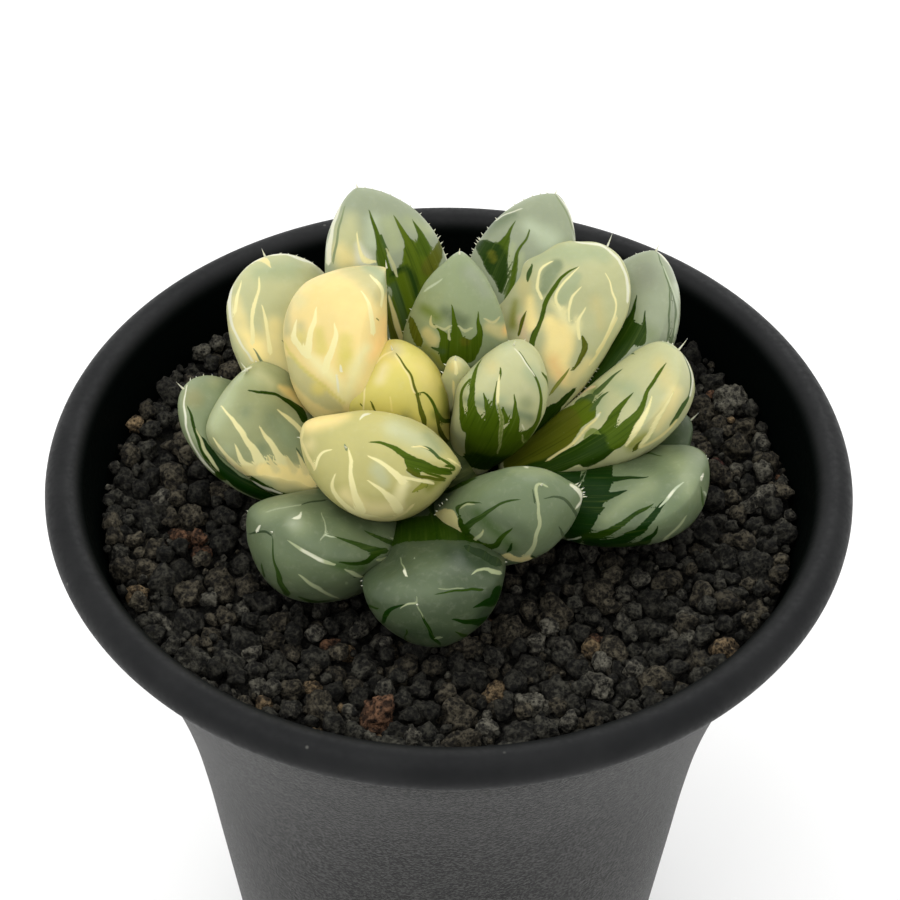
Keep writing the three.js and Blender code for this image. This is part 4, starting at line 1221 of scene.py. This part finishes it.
def spike(foot, heading, length, radius, sides=6, rings=1, curl=0.0):
    """Points and faces of a thin tapering hair, sunk a little into what carries it."""
    heading = unit(heading)
    side = unit(np.cross(heading, ODD_HEADING))
    other = np.cross(heading, side)
    rise = np.array([0, 0, curl * length])
    bearing = np.arange(sides) / sides * 2 * np.pi
    points = []
    for k in range(rings + 1):
        t = k / (rings + 1)
        centre = foot + heading * (length * t - HAIR_SUNK * radius) + rise * t ** 2
        circle = np.cos(bearing)[:, None] * side + np.sin(bearing)[:, None] * other
        points.append(centre + radius * (1 - t) * circle)
    tip = foot + heading * length + rise
    return np.concatenate([*points, [foot - heading * radius, tip]]), *closed_faces(rings + 1, sides)


def hidden_points(others, skin, normal):
    """1 for the points that the photograph hides and 0 for the others, by looking to the camera."""
    hidden = np.ones(len(skin))
    towards = unit(CAMERA_PLACE - skin)
    facing = np.einsum("ij,ij->i", normal, towards) > LOOK_FACING
    for i in np.flatnonzero(facing):
        start = Vector(skin[i] + normal[i] * LOOK_LIFT)
        if not others.ray_cast(start, Vector(towards[i]), CAMERA_DISTANCE)[0]:
            hidden[i] = 0
    return hidden


def leaf_columns(count):
    """Places round the leaf, with both margins among them."""
    return np.arange(count) / count * 4 - 1


def leaf_rows(count):
    """Places along the leaf, closer together near the tip."""
    return np.sin(np.arange(count) / count * np.pi / 2) ** ROW_CROWDING


def make_leaf(name, values, others, material):
    """A leaf's fine piece, with its markings as fields on its points and its teeth and hairs."""
    shape = {**LEAF_SHAPE, **values}
    marking = {**PLAIN_MARKING, **MARKINGS.get(name, {})}
    rows, columns = shape["rows"], shape["columns"]
    along, turn = leaf_rows(rows), leaf_columns(columns)
    grid, centre = leaf_grid(shape, along, turn)
    grid = pushed(name, grid)
    normal = surface_normals(grid)
    seed = sum(ord(letter) for letter in name)
    lumps = relief(grid.reshape(-1, 3), LEAF_RELIEF, seed).reshape(rows, columns)
    fade = np.minimum(1, (1 - along) / RELIEF_FADE)[:, None]
    grid = grid + normal * (lumps * fade)[..., None]
    base, tip, heading, _, _ = leaf_axes(shape)
    tip = pushed(name, tip[None])[0]
    points = np.concatenate([grid.reshape(-1, 3), [base, tip]])
    count = rows * columns

    normals = np.concatenate([normal.reshape(-1, 3), [-heading, heading]])
    unseen = hidden_points(others, points, normals)
    patch = unseen[:count].reshape(rows, columns)
    for _ in range(UNSEEN_BLURS):
        patch = (patch + np.roll(patch, 1, 1) + np.roll(patch, -1, 1)) / 3
        patch[1:-1] = (patch[1:-1] + patch[2:] + patch[:-2]) / 3
    unseen[:count] = patch.ravel()

    margins = [0, columns // 2]
    # Distance from the margins, for the painted glow of the thin rim, pushed far where the skin is seen
    rim_glow = np.min([np.linalg.norm(grid - grid[:, m:m + 1], axis=2) for m in margins], axis=0)
    rim_glow = np.concatenate([rim_glow.ravel(), [RIM_FAR, 0]])
    rim_glow = rim_glow + RIM_FAR * (1 - unseen)
    pixels = pixels_of(points)
    for axis in range(2):
        pixels[:, axis] += STROKE_WANDER * waves(points, WANDER_LENGTH, seed + axis)
    facing = np.einsum("ij,ij->i", normals, unit(CAMERA_PLACE - points))
    dark_stroke, dark_tint = crisp_strokes(pixels, facing, marking["dark"])
    light_stroke, light_tint = crisp_strokes(pixels, facing, marking["light"])
    tint = soft_strokes(pixels, facing, marking, unseen)
    share = np.concatenate([np.repeat(along, columns), [0, 1]])
    uv = np.concatenate([
        np.stack(np.broadcast_arrays(np.abs(turn - 1)[None], along[:, None]), -1).reshape(-1, 2),
        [[0, 0], [0, 1]]])

    # Teeth along the margins and the hair at the tip
    hairs = []
    random = np.random.default_rng(seed)
    for length, spacing, row in marking["teeth"]:
        knots = np.array(row, float).reshape(-1, 2)
        travelled = np.concatenate([[0], np.cumsum(np.linalg.norm(np.diff(knots, axis=0), axis=1))])
        for step in np.arange(0, travelled[-1], spacing / PIXEL):
            t = step + random.uniform(0, 0.5) * spacing / PIXEL
            place = [np.interp(t, travelled, knots[:, 0]), np.interp(t, travelled, knots[:, 1])]
            off_edge = TOOTH_EDGE_WEIGHT * np.abs(facing[:count] - LOOK_FACING)
            foot = int(np.argmin(np.linalg.norm(pixels[:count] - place, axis=1) + off_edge))
            lean = normals[foot] + TOOTH_LEAN * heading + random.normal(0, TOOTH_SPREAD, 3)
            hairs.append(spike(points[foot], lean, length * random.uniform(*TOOTH_LENGTHS), TOOTH_RADIUS))
    for margin in margins:
        for row in range(rows // 5, rows - HAIRLESS_TIP_ROWS, HAIR_ROW_STEP):
            if unseen[row * columns + margin] > 0.5:
                place = grid[row, margin]
                lean = unit(place - centre[row]) + HAIR_LEAN * heading + random.normal(0, HAIR_SPREAD, 3)
                hairs.append(spike(place, lean, random.uniform(*HAIR_LENGTHS), HAIR_RADIUS))
    lean = heading + np.array([0, 0, BRISTLE_RISE])
    hairs.append(spike(tip, lean, shape["bristle"], BRISTLE_RADIUS, sides=8, rings=6, curl=BRISTLE_CURL))

    all_points, *faces = joined([(points, *closed_faces(rows, columns)), *hairs])
    mesh = make_mesh(name, all_points, faces)
    extra = len(all_points) - len(points)
    no_stroke = [0, STROKE_LIMIT, 0]
    fields = {
        "unseen": (unseen, 0), "rim_glow": (rim_glow, RIM_FAR), "length_share": (share, HAIR_PLACE),
        "tint": (tint, look(HAIR_COLOUR)), "dark_tint": (dark_tint, look(HAIR_COLOUR)),
        "light_tint": (light_tint, look(HAIR_COLOUR)),
        "dark_stroke": (dark_stroke, no_stroke), "light_stroke": (light_stroke, no_stroke),
    }
    for key, (field, on_hairs) in fields.items():
        add_field(mesh, key, np.concatenate([field, np.full((extra, *field.shape[1:]), on_hairs)]))
    uv = np.concatenate([uv, np.zeros((extra, 2))])
    layer = mesh.uv_layers.new(name="leaf_uv")
    loop_vertex = np.zeros(len(mesh.loops), np.int32)
    mesh.loops.foreach_get("vertex_index", loop_vertex)
    layer.data.foreach_set("uv", uv[loop_vertex].astype(np.float32).ravel())
    return add_piece(name + "_fine", mesh, [material], name)


# Materials

class Nodes:
    """Short calls for building a material's nodes."""

    def __init__(self, name):
        """A new material with its shader."""
        self.material = bpy.data.materials.new(name)
        self.material.use_nodes = True
        self.tree = self.material.node_tree
        self.shader = self.tree.nodes["Principled BSDF"]

    def node(self, kind, **values):
        """A new node with some of its settings."""
        node = self.tree.nodes.new("ShaderNode" + kind)
        for key, value in values.items():
            setattr(node, key, value)
        return node

    def put(self, socket, value):
        """Sets a socket to a number or colour, or links an output to it."""
        if isinstance(value, bpy.types.NodeSocket):
            self.tree.links.new(value, socket)
        elif isinstance(value, tuple) and len(value) == 3 and socket.type == "RGBA":
            socket.default_value = (*value, 1)
        else:
            socket.default_value = value

    def attribute(self, name, output="Fac"):
        """A field of the mesh."""
        return self.node("Attribute", attribute_name=name).outputs[output]

    def stroke(self, name, feather):
        """How far inside a stroke the surface is, in millimetres. Thin strokes are less ragged."""
        node = self.node("SeparateXYZ")
        self.put(node.inputs[0], self.attribute(name, "Vector"))
        side, away, half = node.outputs
        gap = self.math("MAXIMUM", self.math("ABSOLUTE", side), self.math("SUBTRACT", away, POINT_GAP))
        ragged = self.math("MULTIPLY", feather, self.spread(half, 0.05, 0.45, 0.25, 1.0))
        return self.math("ADD", self.math("SUBTRACT", half, gap), ragged)

    def coordinate(self, output, scale=(1, 1, 1)):
        """A texture coordinate, stretched."""
        mapping = self.node("Mapping")
        mapping.inputs["Scale"].default_value = scale
        self.put(mapping.inputs["Vector"], self.node("TexCoord").outputs[output])
        return mapping.outputs["Vector"]

    def noise(self, vector, scale, detail=3, roughness=0.5, distortion=0.0):
        """Cloudy noise from 0 to 1."""
        node = self.node("TexNoise")
        inputs = {"Vector": vector, "Scale": scale, "Detail": detail, "Roughness": roughness,
                  "Distortion": distortion}
        for key, value in inputs.items():
            self.put(node.inputs[key], value)
        return node.outputs["Fac"]

    def cells(self, vector, scale):
        """Distance from the middle of the nearest cell."""
        node = self.node("TexVoronoi")
        self.put(node.inputs["Vector"], vector)
        self.put(node.inputs["Scale"], scale)
        return node.outputs["Distance"]

    def math(self, operation, a, b=0.0):
        """A sum, product or the like of two numbers."""
        node = self.node("Math", operation=operation)
        self.put(node.inputs[0], a)
        self.put(node.inputs[1], b)
        return node.outputs[0]

    def spread(self, value, low, high, to_low=0.0, to_high=1.0, smooth=True):
        """Maps a range of values to another, held at its ends."""
        node = self.node("MapRange", interpolation_type="SMOOTHSTEP" if smooth else "LINEAR")
        self.put(node.inputs["Value"], value)
        ends = {"From Min": low, "From Max": high, "To Min": to_low, "To Max": to_high}
        for key, number in ends.items():
            self.put(node.inputs[key], number)
        return node.outputs["Result"]

    def mix(self, share, a, b, blend="MIX"):
        """A colour between two others, or their product."""
        node = self.node("Mix", data_type="RGBA", blend_type=blend)
        self.put(node.inputs["Factor"], share)
        self.put(node.inputs[6], a)
        self.put(node.inputs[7], b)
        return node.outputs[2]

    def bump(self, height, strength, distance):
        """Very low relief."""
        node = self.node("Bump")
        for key, value in (("Strength", strength), ("Distance", distance), ("Height", height)):
            self.put(node.inputs[key], value)
        self.put(self.shader.inputs["Normal"], node.outputs["Normal"])

    def set(self, **values):
        """Sets or links sockets of the shader."""
        names = dict(colour="Base Color", roughness="Roughness", specular="Specular IOR Level",
                     subsurface="Subsurface Weight", scatter="Subsurface Radius",
                     scatter_scale="Subsurface Scale", sheen="Sheen Weight",
                     sheen_roughness="Sheen Roughness")
        for key, value in values.items():
            self.put(self.shader.inputs[names[key]], value)


def paint(name):
    """A named colour for a node."""
    return tuple(float(c) for c in look(name))


def leaf_material():
    """Skin of the leaves, painted by the fields that make_leaf stores on their points."""
    n = Nodes("haworthia_leaf")
    place = n.coordinate("Object")
    unseen = n.spread(n.attribute("unseen"), 0.35, 0.9, 0, 1)

    # Ragged edges: small wobbles, and streaks along the leaf
    streaks = n.noise(n.coordinate("UV", (26, 2.2, 1)), 1, 3, 0.6)
    ragged = n.noise(place, 2600, 3, 0.6)
    wobble = n.math("MULTIPLY", n.math("SUBTRACT", ragged, 0.5), 0.13)
    feather = n.math("ADD", wobble, n.math("MULTIPLY", n.math("SUBTRACT", streaks, 0.5), 0.34))

    # Ground, faintly clouded and mottled, with veins where the photograph doesn't show the skin
    tint = n.attribute("tint", "Color")
    cloud = n.noise(place, 260, 3, 0.5)
    ground = n.mix(n.spread(cloud, 0.3, 0.7, 0, 0.1), tint, paint("moss"))
    mottle = n.spread(n.noise(place, 1100, 3, 0.65), 0.5, 0.75, 0, 0.05)
    ground = n.mix(mottle, ground, paint("white"))
    vein = n.spread(n.noise(n.coordinate("UV", (40, 3, 1)), 1, 2, 0.5), 0.58, 0.66, 0, 0.55)
    ground = n.mix(n.math("MULTIPLY", vein, unseen), ground, paint("cream"))

    # Painted light: the thin rim is lightened as if light shone through it, on the sides that are hidden
    rim_glow = n.spread(n.math("ADD", n.attribute("rim_glow"), wobble), 0.03, 0.24, 0.6, 0)
    ground = n.mix(rim_glow, ground, paint("white"))

    # Green flames from the base on the sides that the photograph doesn't show
    flames = n.noise(n.coordinate("UV", (11, 1.1, 1)), 1, 4, 0.55, 0.2)
    rise = n.spread(n.attribute("length_share"), 0.1, 0.9, 0.2, -0.2, smooth=False)
    flames = n.math("MULTIPLY", n.spread(n.math("ADD", flames, rise), 0.50, 0.53), unseen)
    surface = n.mix(flames, ground, n.mix(n.spread(streaks, 0.4, 0.7), paint("dark"), paint("green")))

    # The dark strokes, streaked along the leaf, the light ones over them, and a few pale flecks
    dark = n.spread(n.stroke("dark_stroke", feather), -0.045, 0.045)
    stripe = n.attribute("dark_tint", "Color")
    stripe = n.mix(n.spread(streaks, 0.25, 0.5, 0.55, 0), stripe, paint("deep"))
    stripe = n.mix(n.spread(streaks, 0.5, 0.8, 0, 0.3), stripe, paint("leaf"))
    surface = n.mix(dark, surface, stripe)
    light = n.spread(n.stroke("light_stroke", feather), -0.07, 0.07, 0, 0.92)
    surface = n.mix(light, surface, n.attribute("light_tint", "Color"))

    speckle = n.spread(n.cells(place, 1500), 0.05, 0.18, 0.14, 0)
    speckle = n.math("MULTIPLY", speckle, n.spread(n.noise(place, 500, 2), 0.64, 0.74))
    surface = n.mix(speckle, surface, paint("white"))
    green = n.math("MAXIMUM", dark, flames)
    n.set(colour=surface, roughness=n.spread(cloud, 0.3, 0.7, 0.36, 0.5),
          specular=n.spread(green, 0, 1, 0.27, 0.08),
          subsurface=0.16, scatter=(1.0, 0.85, 0.35), scatter_scale=0.0005)
    height = n.math("SUBTRACT", n.noise(place, 1800, 4, 0.6), n.math("MULTIPLY", dark, 0.5))
    n.bump(height, 0.12, 0.0002)
    return n.material


def lip_material():
    """Smooth dusty black of the lip, with painted shade that makes it darker and less shiny inside the
    pot.
    """
    n = Nodes("pot_lip")
    place = n.coordinate("Object")
    grain = n.noise(place, 1500, 4, 0.6)
    cloud = n.noise(place, 120, 3, 0.6)
    inside = n.attribute("inside")
    colour = n.mix(n.spread(cloud, 0.3, 0.7), (0.006, 0.0065, 0.007), (0.011, 0.0115, 0.012))
    dust = n.spread(n.cells(place, 420), 0.03, 0.11, 1, 0)
    dust = n.math("MULTIPLY", dust, n.spread(n.noise(place, 90, 3), 0.52, 0.64, 0, 0.8))
    colour = n.mix(dust, colour, (0.10, 0.10, 0.09))
    # Painted shade: darker inside the pot, and less shiny below
    colour = n.mix(inside, colour, (0.0012, 0.0022, 0.0018))
    n.set(colour=colour, roughness=n.spread(grain, 0.3, 0.7, 0.42, 0.58),
          specular=n.spread(inside, 0, 1, 0.14, 0.02))
    n.bump(grain, 0.08, 0.0002)
    return n.material


def body_material():
    """Finely speckled grey-black of the pot's wall."""
    n = Nodes("pot_body")
    place = n.coordinate("Object")
    fine = n.noise(place, 2700, 2, 0.75)
    coarse = n.noise(place, 1300, 3, 0.6)
    cloud = n.noise(place, 60, 3, 0.6)
    speckle = n.math("ADD", n.math("MULTIPLY", fine, 0.75), n.math("MULTIPLY", coarse, 0.25))
    colour = n.mix(n.spread(speckle, 0.45, 0.58), (0.002, 0.002, 0.002), (0.041, 0.041, 0.039))
    colour = n.mix(n.spread(cloud, 0.35, 0.75, 0, 0.3), colour, (0.03, 0.03, 0.0285))
    n.set(colour=colour, roughness=0.65, specular=0.2, sheen=0.16, sheen_roughness=0.3)
    n.bump(speckle, 0.6, 0.0003)
    return n.material


def gravel_material():
    """Porous stone in each stone's own tint."""
    n = Nodes("gravel")
    place = n.coordinate("Object")
    pores = n.cells(place, 1700)
    rough = n.noise(place, 1300, 5, 0.7)
    crust = n.noise(place, 420, 4, 0.6)
    tint = n.attribute("tint", "Color")
    dark = n.mix(1.0, tint, (0.22, 0.21, 0.2), "MULTIPLY")
    bright = n.mix(1.0, tint, (2.3, 2.2, 1.95), "MULTIPLY")
    colour = n.mix(n.spread(rough, 0.39, 0.66), dark, bright)
    colour = n.mix(n.spread(crust, 0.55, 0.8, 0, 0.3), colour, (0.07, 0.062, 0.046))
    colour = n.mix(n.spread(pores, 0.15, 0.36, 0.85, 0), colour, (0.003, 0.003, 0.003))
    n.set(colour=colour, roughness=0.9, specular=0.2)
    height = n.math("ADD", n.math("MULTIPLY", pores, 0.8), rough)
    n.bump(height, 0.9, 0.0005)
    return n.material


def stem_material():
    """Dull green with faint rings."""
    n = Nodes("haworthia_stem")
    place = n.coordinate("Object")
    rings = n.noise(n.coordinate("Object", (1, 1, 6)), 160, 3, 0.6)
    colour = n.mix(n.spread(rings, 0.4, 0.65), (0.035, 0.055, 0.006), (0.09, 0.11, 0.02))
    n.set(colour=colour, roughness=0.6, specular=0.3)
    n.bump(n.noise(place, 900, 4), 0.4, 0.0004)
    return n.material


def floor_material():
    """Plain pale paper."""
    n = Nodes("floor")
    n.set(colour=(0.97, 0.97, 0.965), roughness=0.9, specular=0.1)
    return n.material


# Pot

def smooth_wall(count):
    """The wall's outside as a smooth curve through its measured points."""
    height = WALL_OUTSIDE[2:, 1]
    radius = WALL_OUTSIDE[2:, 0]
    levels = np.linspace(height[0], height[-1], count)
    slope = np.gradient(radius, height)
    place = np.clip(np.searchsorted(height, levels) - 1, 0, len(height) - 2)
    step = height[place + 1] - height[place]
    t = (levels - height[place]) / step
    start = (1 + 2 * t) * (1 - t) ** 2 * radius[place] + t * (1 - t) ** 2 * step * slope[place]
    finish = t ** 2 * (3 - 2 * t) * radius[place + 1] + t ** 2 * (t - 1) * step * slope[place + 1]
    return np.stack([start + finish, levels], -1)


def inner_radius(height):
    """Radius of the wall's inside."""
    return np.interp(height, WALL_OUTSIDE[:, 1], WALL_OUTSIDE[:, 0]) - WALL_THICKNESS


def bake_modifiers(piece):
    """Applies a piece's modifiers to its mesh."""
    graph = bpy.context.evaluated_depsgraph_get()
    mesh = bpy.data.meshes.new_from_object(piece.evaluated_get(graph))
    piece.modifiers.clear()
    piece.data = mesh


def make_pot(lip, body):
    """The pot as one turned solid with its drain holes, the lip's material on the bead and inside."""
    wall = smooth_wall(WALL_ROWS)
    angle = np.linspace(-np.pi / 2, np.pi, BEAD_STEPS)
    bead = LIP_BEAD_RADIUS * np.stack([np.cos(angle), np.sin(angle)], -1) + [LIP_RING_RADIUS, LIP_HEIGHT]
    below = np.linspace(bead[-1], [inner_radius(SOIL_EDGE_HEIGHT), SOIL_EDGE_HEIGHT], RIM_ROWS)[1:]
    shown = (wall[:, 1] < SOIL_EDGE_HEIGHT - 1) & (wall[:, 1] > INSIDE_BOTTOM)
    inside = wall[shown][::-3] - [WALL_THICKNESS, 0]
    foot_inner = WALL_OUTSIDE[0, 0] - FOOT_RING_WIDTH
    start = [[0, FOOT_RECESS], [foot_inner - FOOT_RECESS, FOOT_RECESS], [foot_inner, 0]]
    lower = np.concatenate([WALL_OUTSIDE[:2], [LOWER_WALL]])
    end = [[inner_radius(FLOOR_TOP), FLOOR_TOP], [0, FLOOR_TOP]]
    profile = np.concatenate([start, lower, wall, bead, below, inside, end])
    mesh = turned_mesh("pot_fine", profile, POT_SIDES)

    # The wall's outside and the foot have the body's material, and a field marks the inside for painted
    # shade
    body_rows = len(start) + len(lower) + len(wall) - 2
    index = np.ones(len(mesh.polygons), np.int32)
    index[:body_rows * POT_SIDES] = 0
    index[-2 * POT_SIDES:-POT_SIDES] = 0
    points = mesh_points(mesh)
    from_axis = np.hypot(points[:, 0], points[:, 1])
    bead_turn = np.arctan2(points[:, 2] - LIP_HEIGHT, from_axis - LIP_RING_RADIUS)
    inside_shade = np.clip((np.degrees(bead_turn) - INSIDE_TURN) / INSIDE_BLEND, 0, 1)
    inside_shade *= points[:, 2] >= LIP_HEIGHT
    inside_shade[(from_axis < LIP_RING_RADIUS - 1) & (points[:, 2] < LIP_HEIGHT)] = 1
    add_field(mesh, "inside", inside_shade)
    piece = add_piece("pot_fine", mesh, [body, lip], "pot")
    mesh.polygons.foreach_set("material_index", index)

    holes = [(0, 0, CENTRE_HOLE_RADIUS)]
    for i in range(OUTER_HOLES):
        bearing = i / OUTER_HOLES * 2 * math.pi
        x, y = OUTER_HOLE_CIRCLE * math.cos(bearing), OUTER_HOLE_CIRCLE * math.sin(bearing)
        holes.append((x, y, OUTER_HOLE_RADIUS))
    cutters = []
    for x, y, radius in holes:
        profile = [[0, -1], [radius, -1], [radius, FLOOR_TOP + 1], [0, FLOOR_TOP + 1]]
        plug = turned_mesh("hole", profile, HOLE_SIDES)
        plug.transform(Matrix.Translation((x * MM, y * MM, 0)))
        cutter = new_object("hole", plug)
        cut = piece.modifiers.new("hole", "BOOLEAN")
        cut.operation = "DIFFERENCE"
        cut.solver = "MANIFOLD"
        cut.object = cutter
        cutters.append(cutter)
    bake_modifiers(piece)
    for cutter in cutters:
        bpy.data.objects.remove(cutter)


# Gravel

def soil_height(from_axis):
    """Height of the gravel's shallow dish."""
    radii, heights = [DISH_FLOOR_RADIUS, DISH_EDGE_RADIUS], [SOIL_MIDDLE_HEIGHT, SOIL_EDGE_HEIGHT]
    return np.interp(from_axis, radii, heights)


def make_bed(material):
    """The soil under the loose stones, as one solid that fills the pot."""
    rim_height = SOIL_EDGE_HEIGHT - BED_DEPTH
    middle_height = SOIL_MIDDLE_HEIGHT - BED_DEPTH
    floor = FLOOR_TOP + CLEARANCE
    wall_radius = inner_radius(rim_height) - CLEARANCE
    side = WALL_OUTSIDE[(WALL_OUTSIDE[:, 1] > floor) & (WALL_OUTSIDE[:, 1] < rim_height - 1)]
    side = side - [WALL_THICKNESS + CLEARANCE, 0]
    top_radius = np.linspace(wall_radius, 1, BED_ROWS)
    top = np.stack([top_radius, soil_height(top_radius) - BED_DEPTH], -1)
    bottom = [[0, floor], [inner_radius(floor) - CLEARANCE, floor]]
    mesh = turned_mesh("gravel_bed", [*bottom, *side, *top, [0, middle_height]], BED_SIDES)
    points = mesh_points(mesh)
    from_axis = np.hypot(points[:, 0], points[:, 1])
    loose = (points[:, 2] > middle_height - 0.5) & (from_axis < wall_radius - 0.5)
    points[loose, 2] += np.clip(relief(points, BED_LUMPS, BED_SEED)[loose], *BED_LUMP_LIMITS)
    set_points(mesh, points)
    add_field(mesh, "tint", np.tile(STONE_TINTS["dark"], (len(points), 1)) * BED_DARKNESS)
    add_piece("gravel_bed", mesh, [material], "soil")


def lay_stones(leaf_tree):
    """The stones' places, radii and tints. Each is dropped, rolls to the lowest place near by and rests
    on those before it."""
    random = np.random.default_rng(GRAVEL_SEED)
    centres, radii, tints = [], [], []

    def rest_height(x, y, radius):
        """Heights at which a stone would rest at some places."""
        height = soil_height(np.hypot(x, y)) - BED_DEPTH + STONE_ON_BED * radius
        if centres:
            have, size = np.array(centres), np.array(radii)
            gap = np.hypot(have[:, 0, None] - x, have[:, 1, None] - y)
            reach = (size[:, None] + radius) * STONE_CLOSENESS
            over = np.sqrt(np.maximum(reach ** 2 - gap ** 2, 0))
            height = np.maximum(height, np.where(gap < reach, have[:, 2, None] + over, 0).max(0))
        return height

    def drop(x, y, radius, roll, ceiling):
        """Lays a stone near a place, and says whether it found room."""
        angle = random.uniform(0, 2 * np.pi, ROLL_TRIES)
        away = roll * np.sqrt(random.uniform(0, 1, ROLL_TRIES))
        away[0] = 0
        try_x, try_y = x + away * np.cos(angle), y + away * np.sin(angle)
        height = rest_height(try_x, try_y, radius)
        for k in np.argsort(height):
            from_axis = math.hypot(try_x[k], try_y[k])
            widest = inner_radius(min(height[k], WALL_TOP)) - STONE_TO_WALL
            if from_axis + radius > widest or from_axis < NEAREST_TO_AXIS:
                continue
            if height[k] + radius > soil_height(from_axis) + ceiling:
                return False
            place = Vector((try_x[k], try_y[k], height[k]))
            if leaf_tree.find_nearest(place, radius * STONE_TO_LEAF)[0] is not None:
                continue
            centres.append([try_x[k], try_y[k], height[k]])
            radii.append(radius)
            return True
        return False

    for x, y, radius, tint in NAMED_STONES:
        place = point_at_height(x, y, SOIL_EDGE_HEIGHT + NAMED_STONE_LIFT)
        height = soil_height(math.hypot(place[0], place[1])) + NAMED_STONE_LIFT
        place = point_at_height(x, y, height)
        if drop(place[0], place[1], radius, NAMED_STONE_ROLL, NAMED_STONE_CEILING):
            tints.append(np.array(STONE_TINTS[tint]))
    names, chances = list(TINT_CHANCES), list(TINT_CHANCES.values())
    for tries, low, high, ceiling in STONE_KINDS:
        for _ in range(tries):
            from_axis = FARTHEST_FROM_AXIS * math.sqrt(random.uniform(INNERMOST_SHARE, 1))
            bearing = random.uniform(0, 2 * math.pi)
            radius = low + (high - low) * random.uniform(0, 1) ** STONE_SMALLNESS
            x, y = from_axis * math.cos(bearing), from_axis * math.sin(bearing)
            if drop(x, y, radius, LOOSE_STONE_ROLL * radius, ceiling):
                name = names[random.choice(len(names), p=chances)]
                tints.append(np.array(STONE_TINTS[name]) * random.uniform(*TINT_SPREAD))
    return np.array(centres), np.array(radii), np.array(tints)


def ball(level):
    """Points and triangles of a round ball of triangles."""
    sphere = bmesh.new()
    bmesh.ops.create_icosphere(sphere, subdivisions=level, radius=1)
    points = np.array([v.co for v in sphere.verts])
    faces = np.array([[v.index for v in f.verts] for f in sphere.faces])
    sphere.free()
    return points, faces


def stone_form(points, random):
    """A ball's points as a lumpy, squeezed and turned stone with a few flat broken faces."""
    turn = np.linalg.qr(random.normal(size=(3, 3)))[0]
    if np.linalg.det(turn) < 0:
        turn[:, 0] = -turn[:, 0]
    squeeze = random.uniform(*STONE_SQUEEZE, 3)
    lumps = np.zeros(len(points))
    for length, height in STONE_LUMPS:
        lumps += height * waves(points, length, int(random.integers(1 << 30)), LUMP_WAVES)
    broken = points
    for _ in range(BROKEN_FACES):
        axis = unit(random.normal(size=3))
        over = np.maximum(broken @ axis - random.uniform(*BROKEN_LIMITS), 0)
        broken = broken - BROKEN_SHARE * over[:, None] * axis
    return broken * (1 + lumps)[:, None] * squeeze @ turn.T


def make_stones(leaf_tree, material):
    """The loose stones, in one piece for each sector of the pot."""
    random = np.random.default_rng(GRAVEL_SEED + 1)
    balls = {level: ball(level) for level in (2, 3, 4)}
    sectors = [[] for _ in range(STONE_PIECES)]
    tints = [[] for _ in range(STONE_PIECES)]
    for place, radius, tint in zip(*lay_stones(leaf_tree)):
        from_axis = math.hypot(place[0], place[1])
        sunk = place[2] + radius < soil_height(from_axis) - HIDDEN_DEPTH
        coarse = from_axis < HIDDEN_FROM_AXIS or sunk or radius < SMALL_STONE
        points, faces = balls[2 if coarse else 3 if radius < LARGE_STONE else 4]
        sector = int(math.atan2(place[1], place[0]) // (2 * math.pi / STONE_PIECES)) % STONE_PIECES
        sectors[sector].append((stone_form(points, random) * radius + place, faces))
        tints[sector].append(np.tile(tint, (len(points), 1)))
    for k in range(STONE_PIECES):
        points, faces = joined(sectors[k])
        mesh = make_mesh(f"gravel_stones_{k + 1}", points, [faces])
        add_field(mesh, "tint", np.concatenate(tints[k]))
        add_piece(mesh.name, mesh, [material])


# Stage

def area_light(name, place, size, power):
    """A round soft light that looks at the plant."""
    data = bpy.data.lights.new(name, "AREA")
    data.shape = "DISK"
    data.size = size
    data.energy = power
    light = new_object(name, data)
    light.location = place
    light.rotation_mode = "QUATERNION"
    light.rotation_quaternion = (Vector(LIGHT_TARGET) - Vector(place)).to_track_quat("-Z", "Y")


def make_stage():
    """Pale floor, even surroundings and two soft lights."""
    world = bpy.data.worlds.new("studio")
    bpy.context.scene.world = world
    world.use_nodes = True
    background = world.node_tree.nodes["Background"]
    background.inputs["Color"].default_value = (1, 1, 1, 1)
    background.inputs["Strength"].default_value = WORLD_STRENGTH
    for name, values in LIGHTS.items():
        area_light(name, *values)
    corners = [(x * FLOOR_REACH, y * FLOOR_REACH, 0) for x, y in ((-1, -1), (1, -1), (1, 1), (-1, 1))]
    mesh = bpy.data.meshes.new("floor")
    mesh.from_pydata(corners, [], [(0, 1, 2, 3)])
    mesh.materials.append(floor_material())
    floor = new_object("floor", mesh)
    bpy.context.scene.view_settings.view_transform = "Standard"


def leaf_occluder(name, values):
    """A coarse copy of a leaf for looking up what lies behind it."""
    shape = {**LEAF_SHAPE, **values}
    grid, _ = leaf_grid(shape, leaf_rows(OCCLUDER_ROWS), leaf_columns(OCCLUDER_COLUMNS))
    points = np.concatenate([pushed(name, grid).reshape(-1, 3), leaf_axes(shape)[:2]])
    quads, triangles = closed_faces(OCCLUDER_ROWS, OCCLUDER_COLUMNS)
    return points.tolist(), quads.tolist() + triangles.tolist()


def joined_tree(parts):
    """Several such copies, for looking up what a ray meets or what is near."""
    points, faces = [], []
    for part_points, part_faces in parts:
        offset = len(points)
        points += part_points
        faces += [[corner + offset for corner in face] for face in part_faces]
    return BVHTree.FromPolygons(points, faces)


make_camera()
make_stage()
occluders = {name: leaf_occluder(name, values) for name, values in LEAVES.items()}
leaf_paint = leaf_material()
for leaf_name, leaf_values in LEAVES.items():
    others = joined_tree([part for name, part in occluders.items() if name != leaf_name])
    make_leaf(leaf_name, leaf_values, others, leaf_paint)
make_pot(lip_material(), body_material())
stones_paint = gravel_material()
make_bed(stones_paint)
make_stones(joined_tree(list(occluders.values())), stones_paint)
stem = turned_mesh("stem_fine", STEM_PROFILE, STEM_SIDES)
add_piece("stem_fine", stem, [stem_material()], "stem")
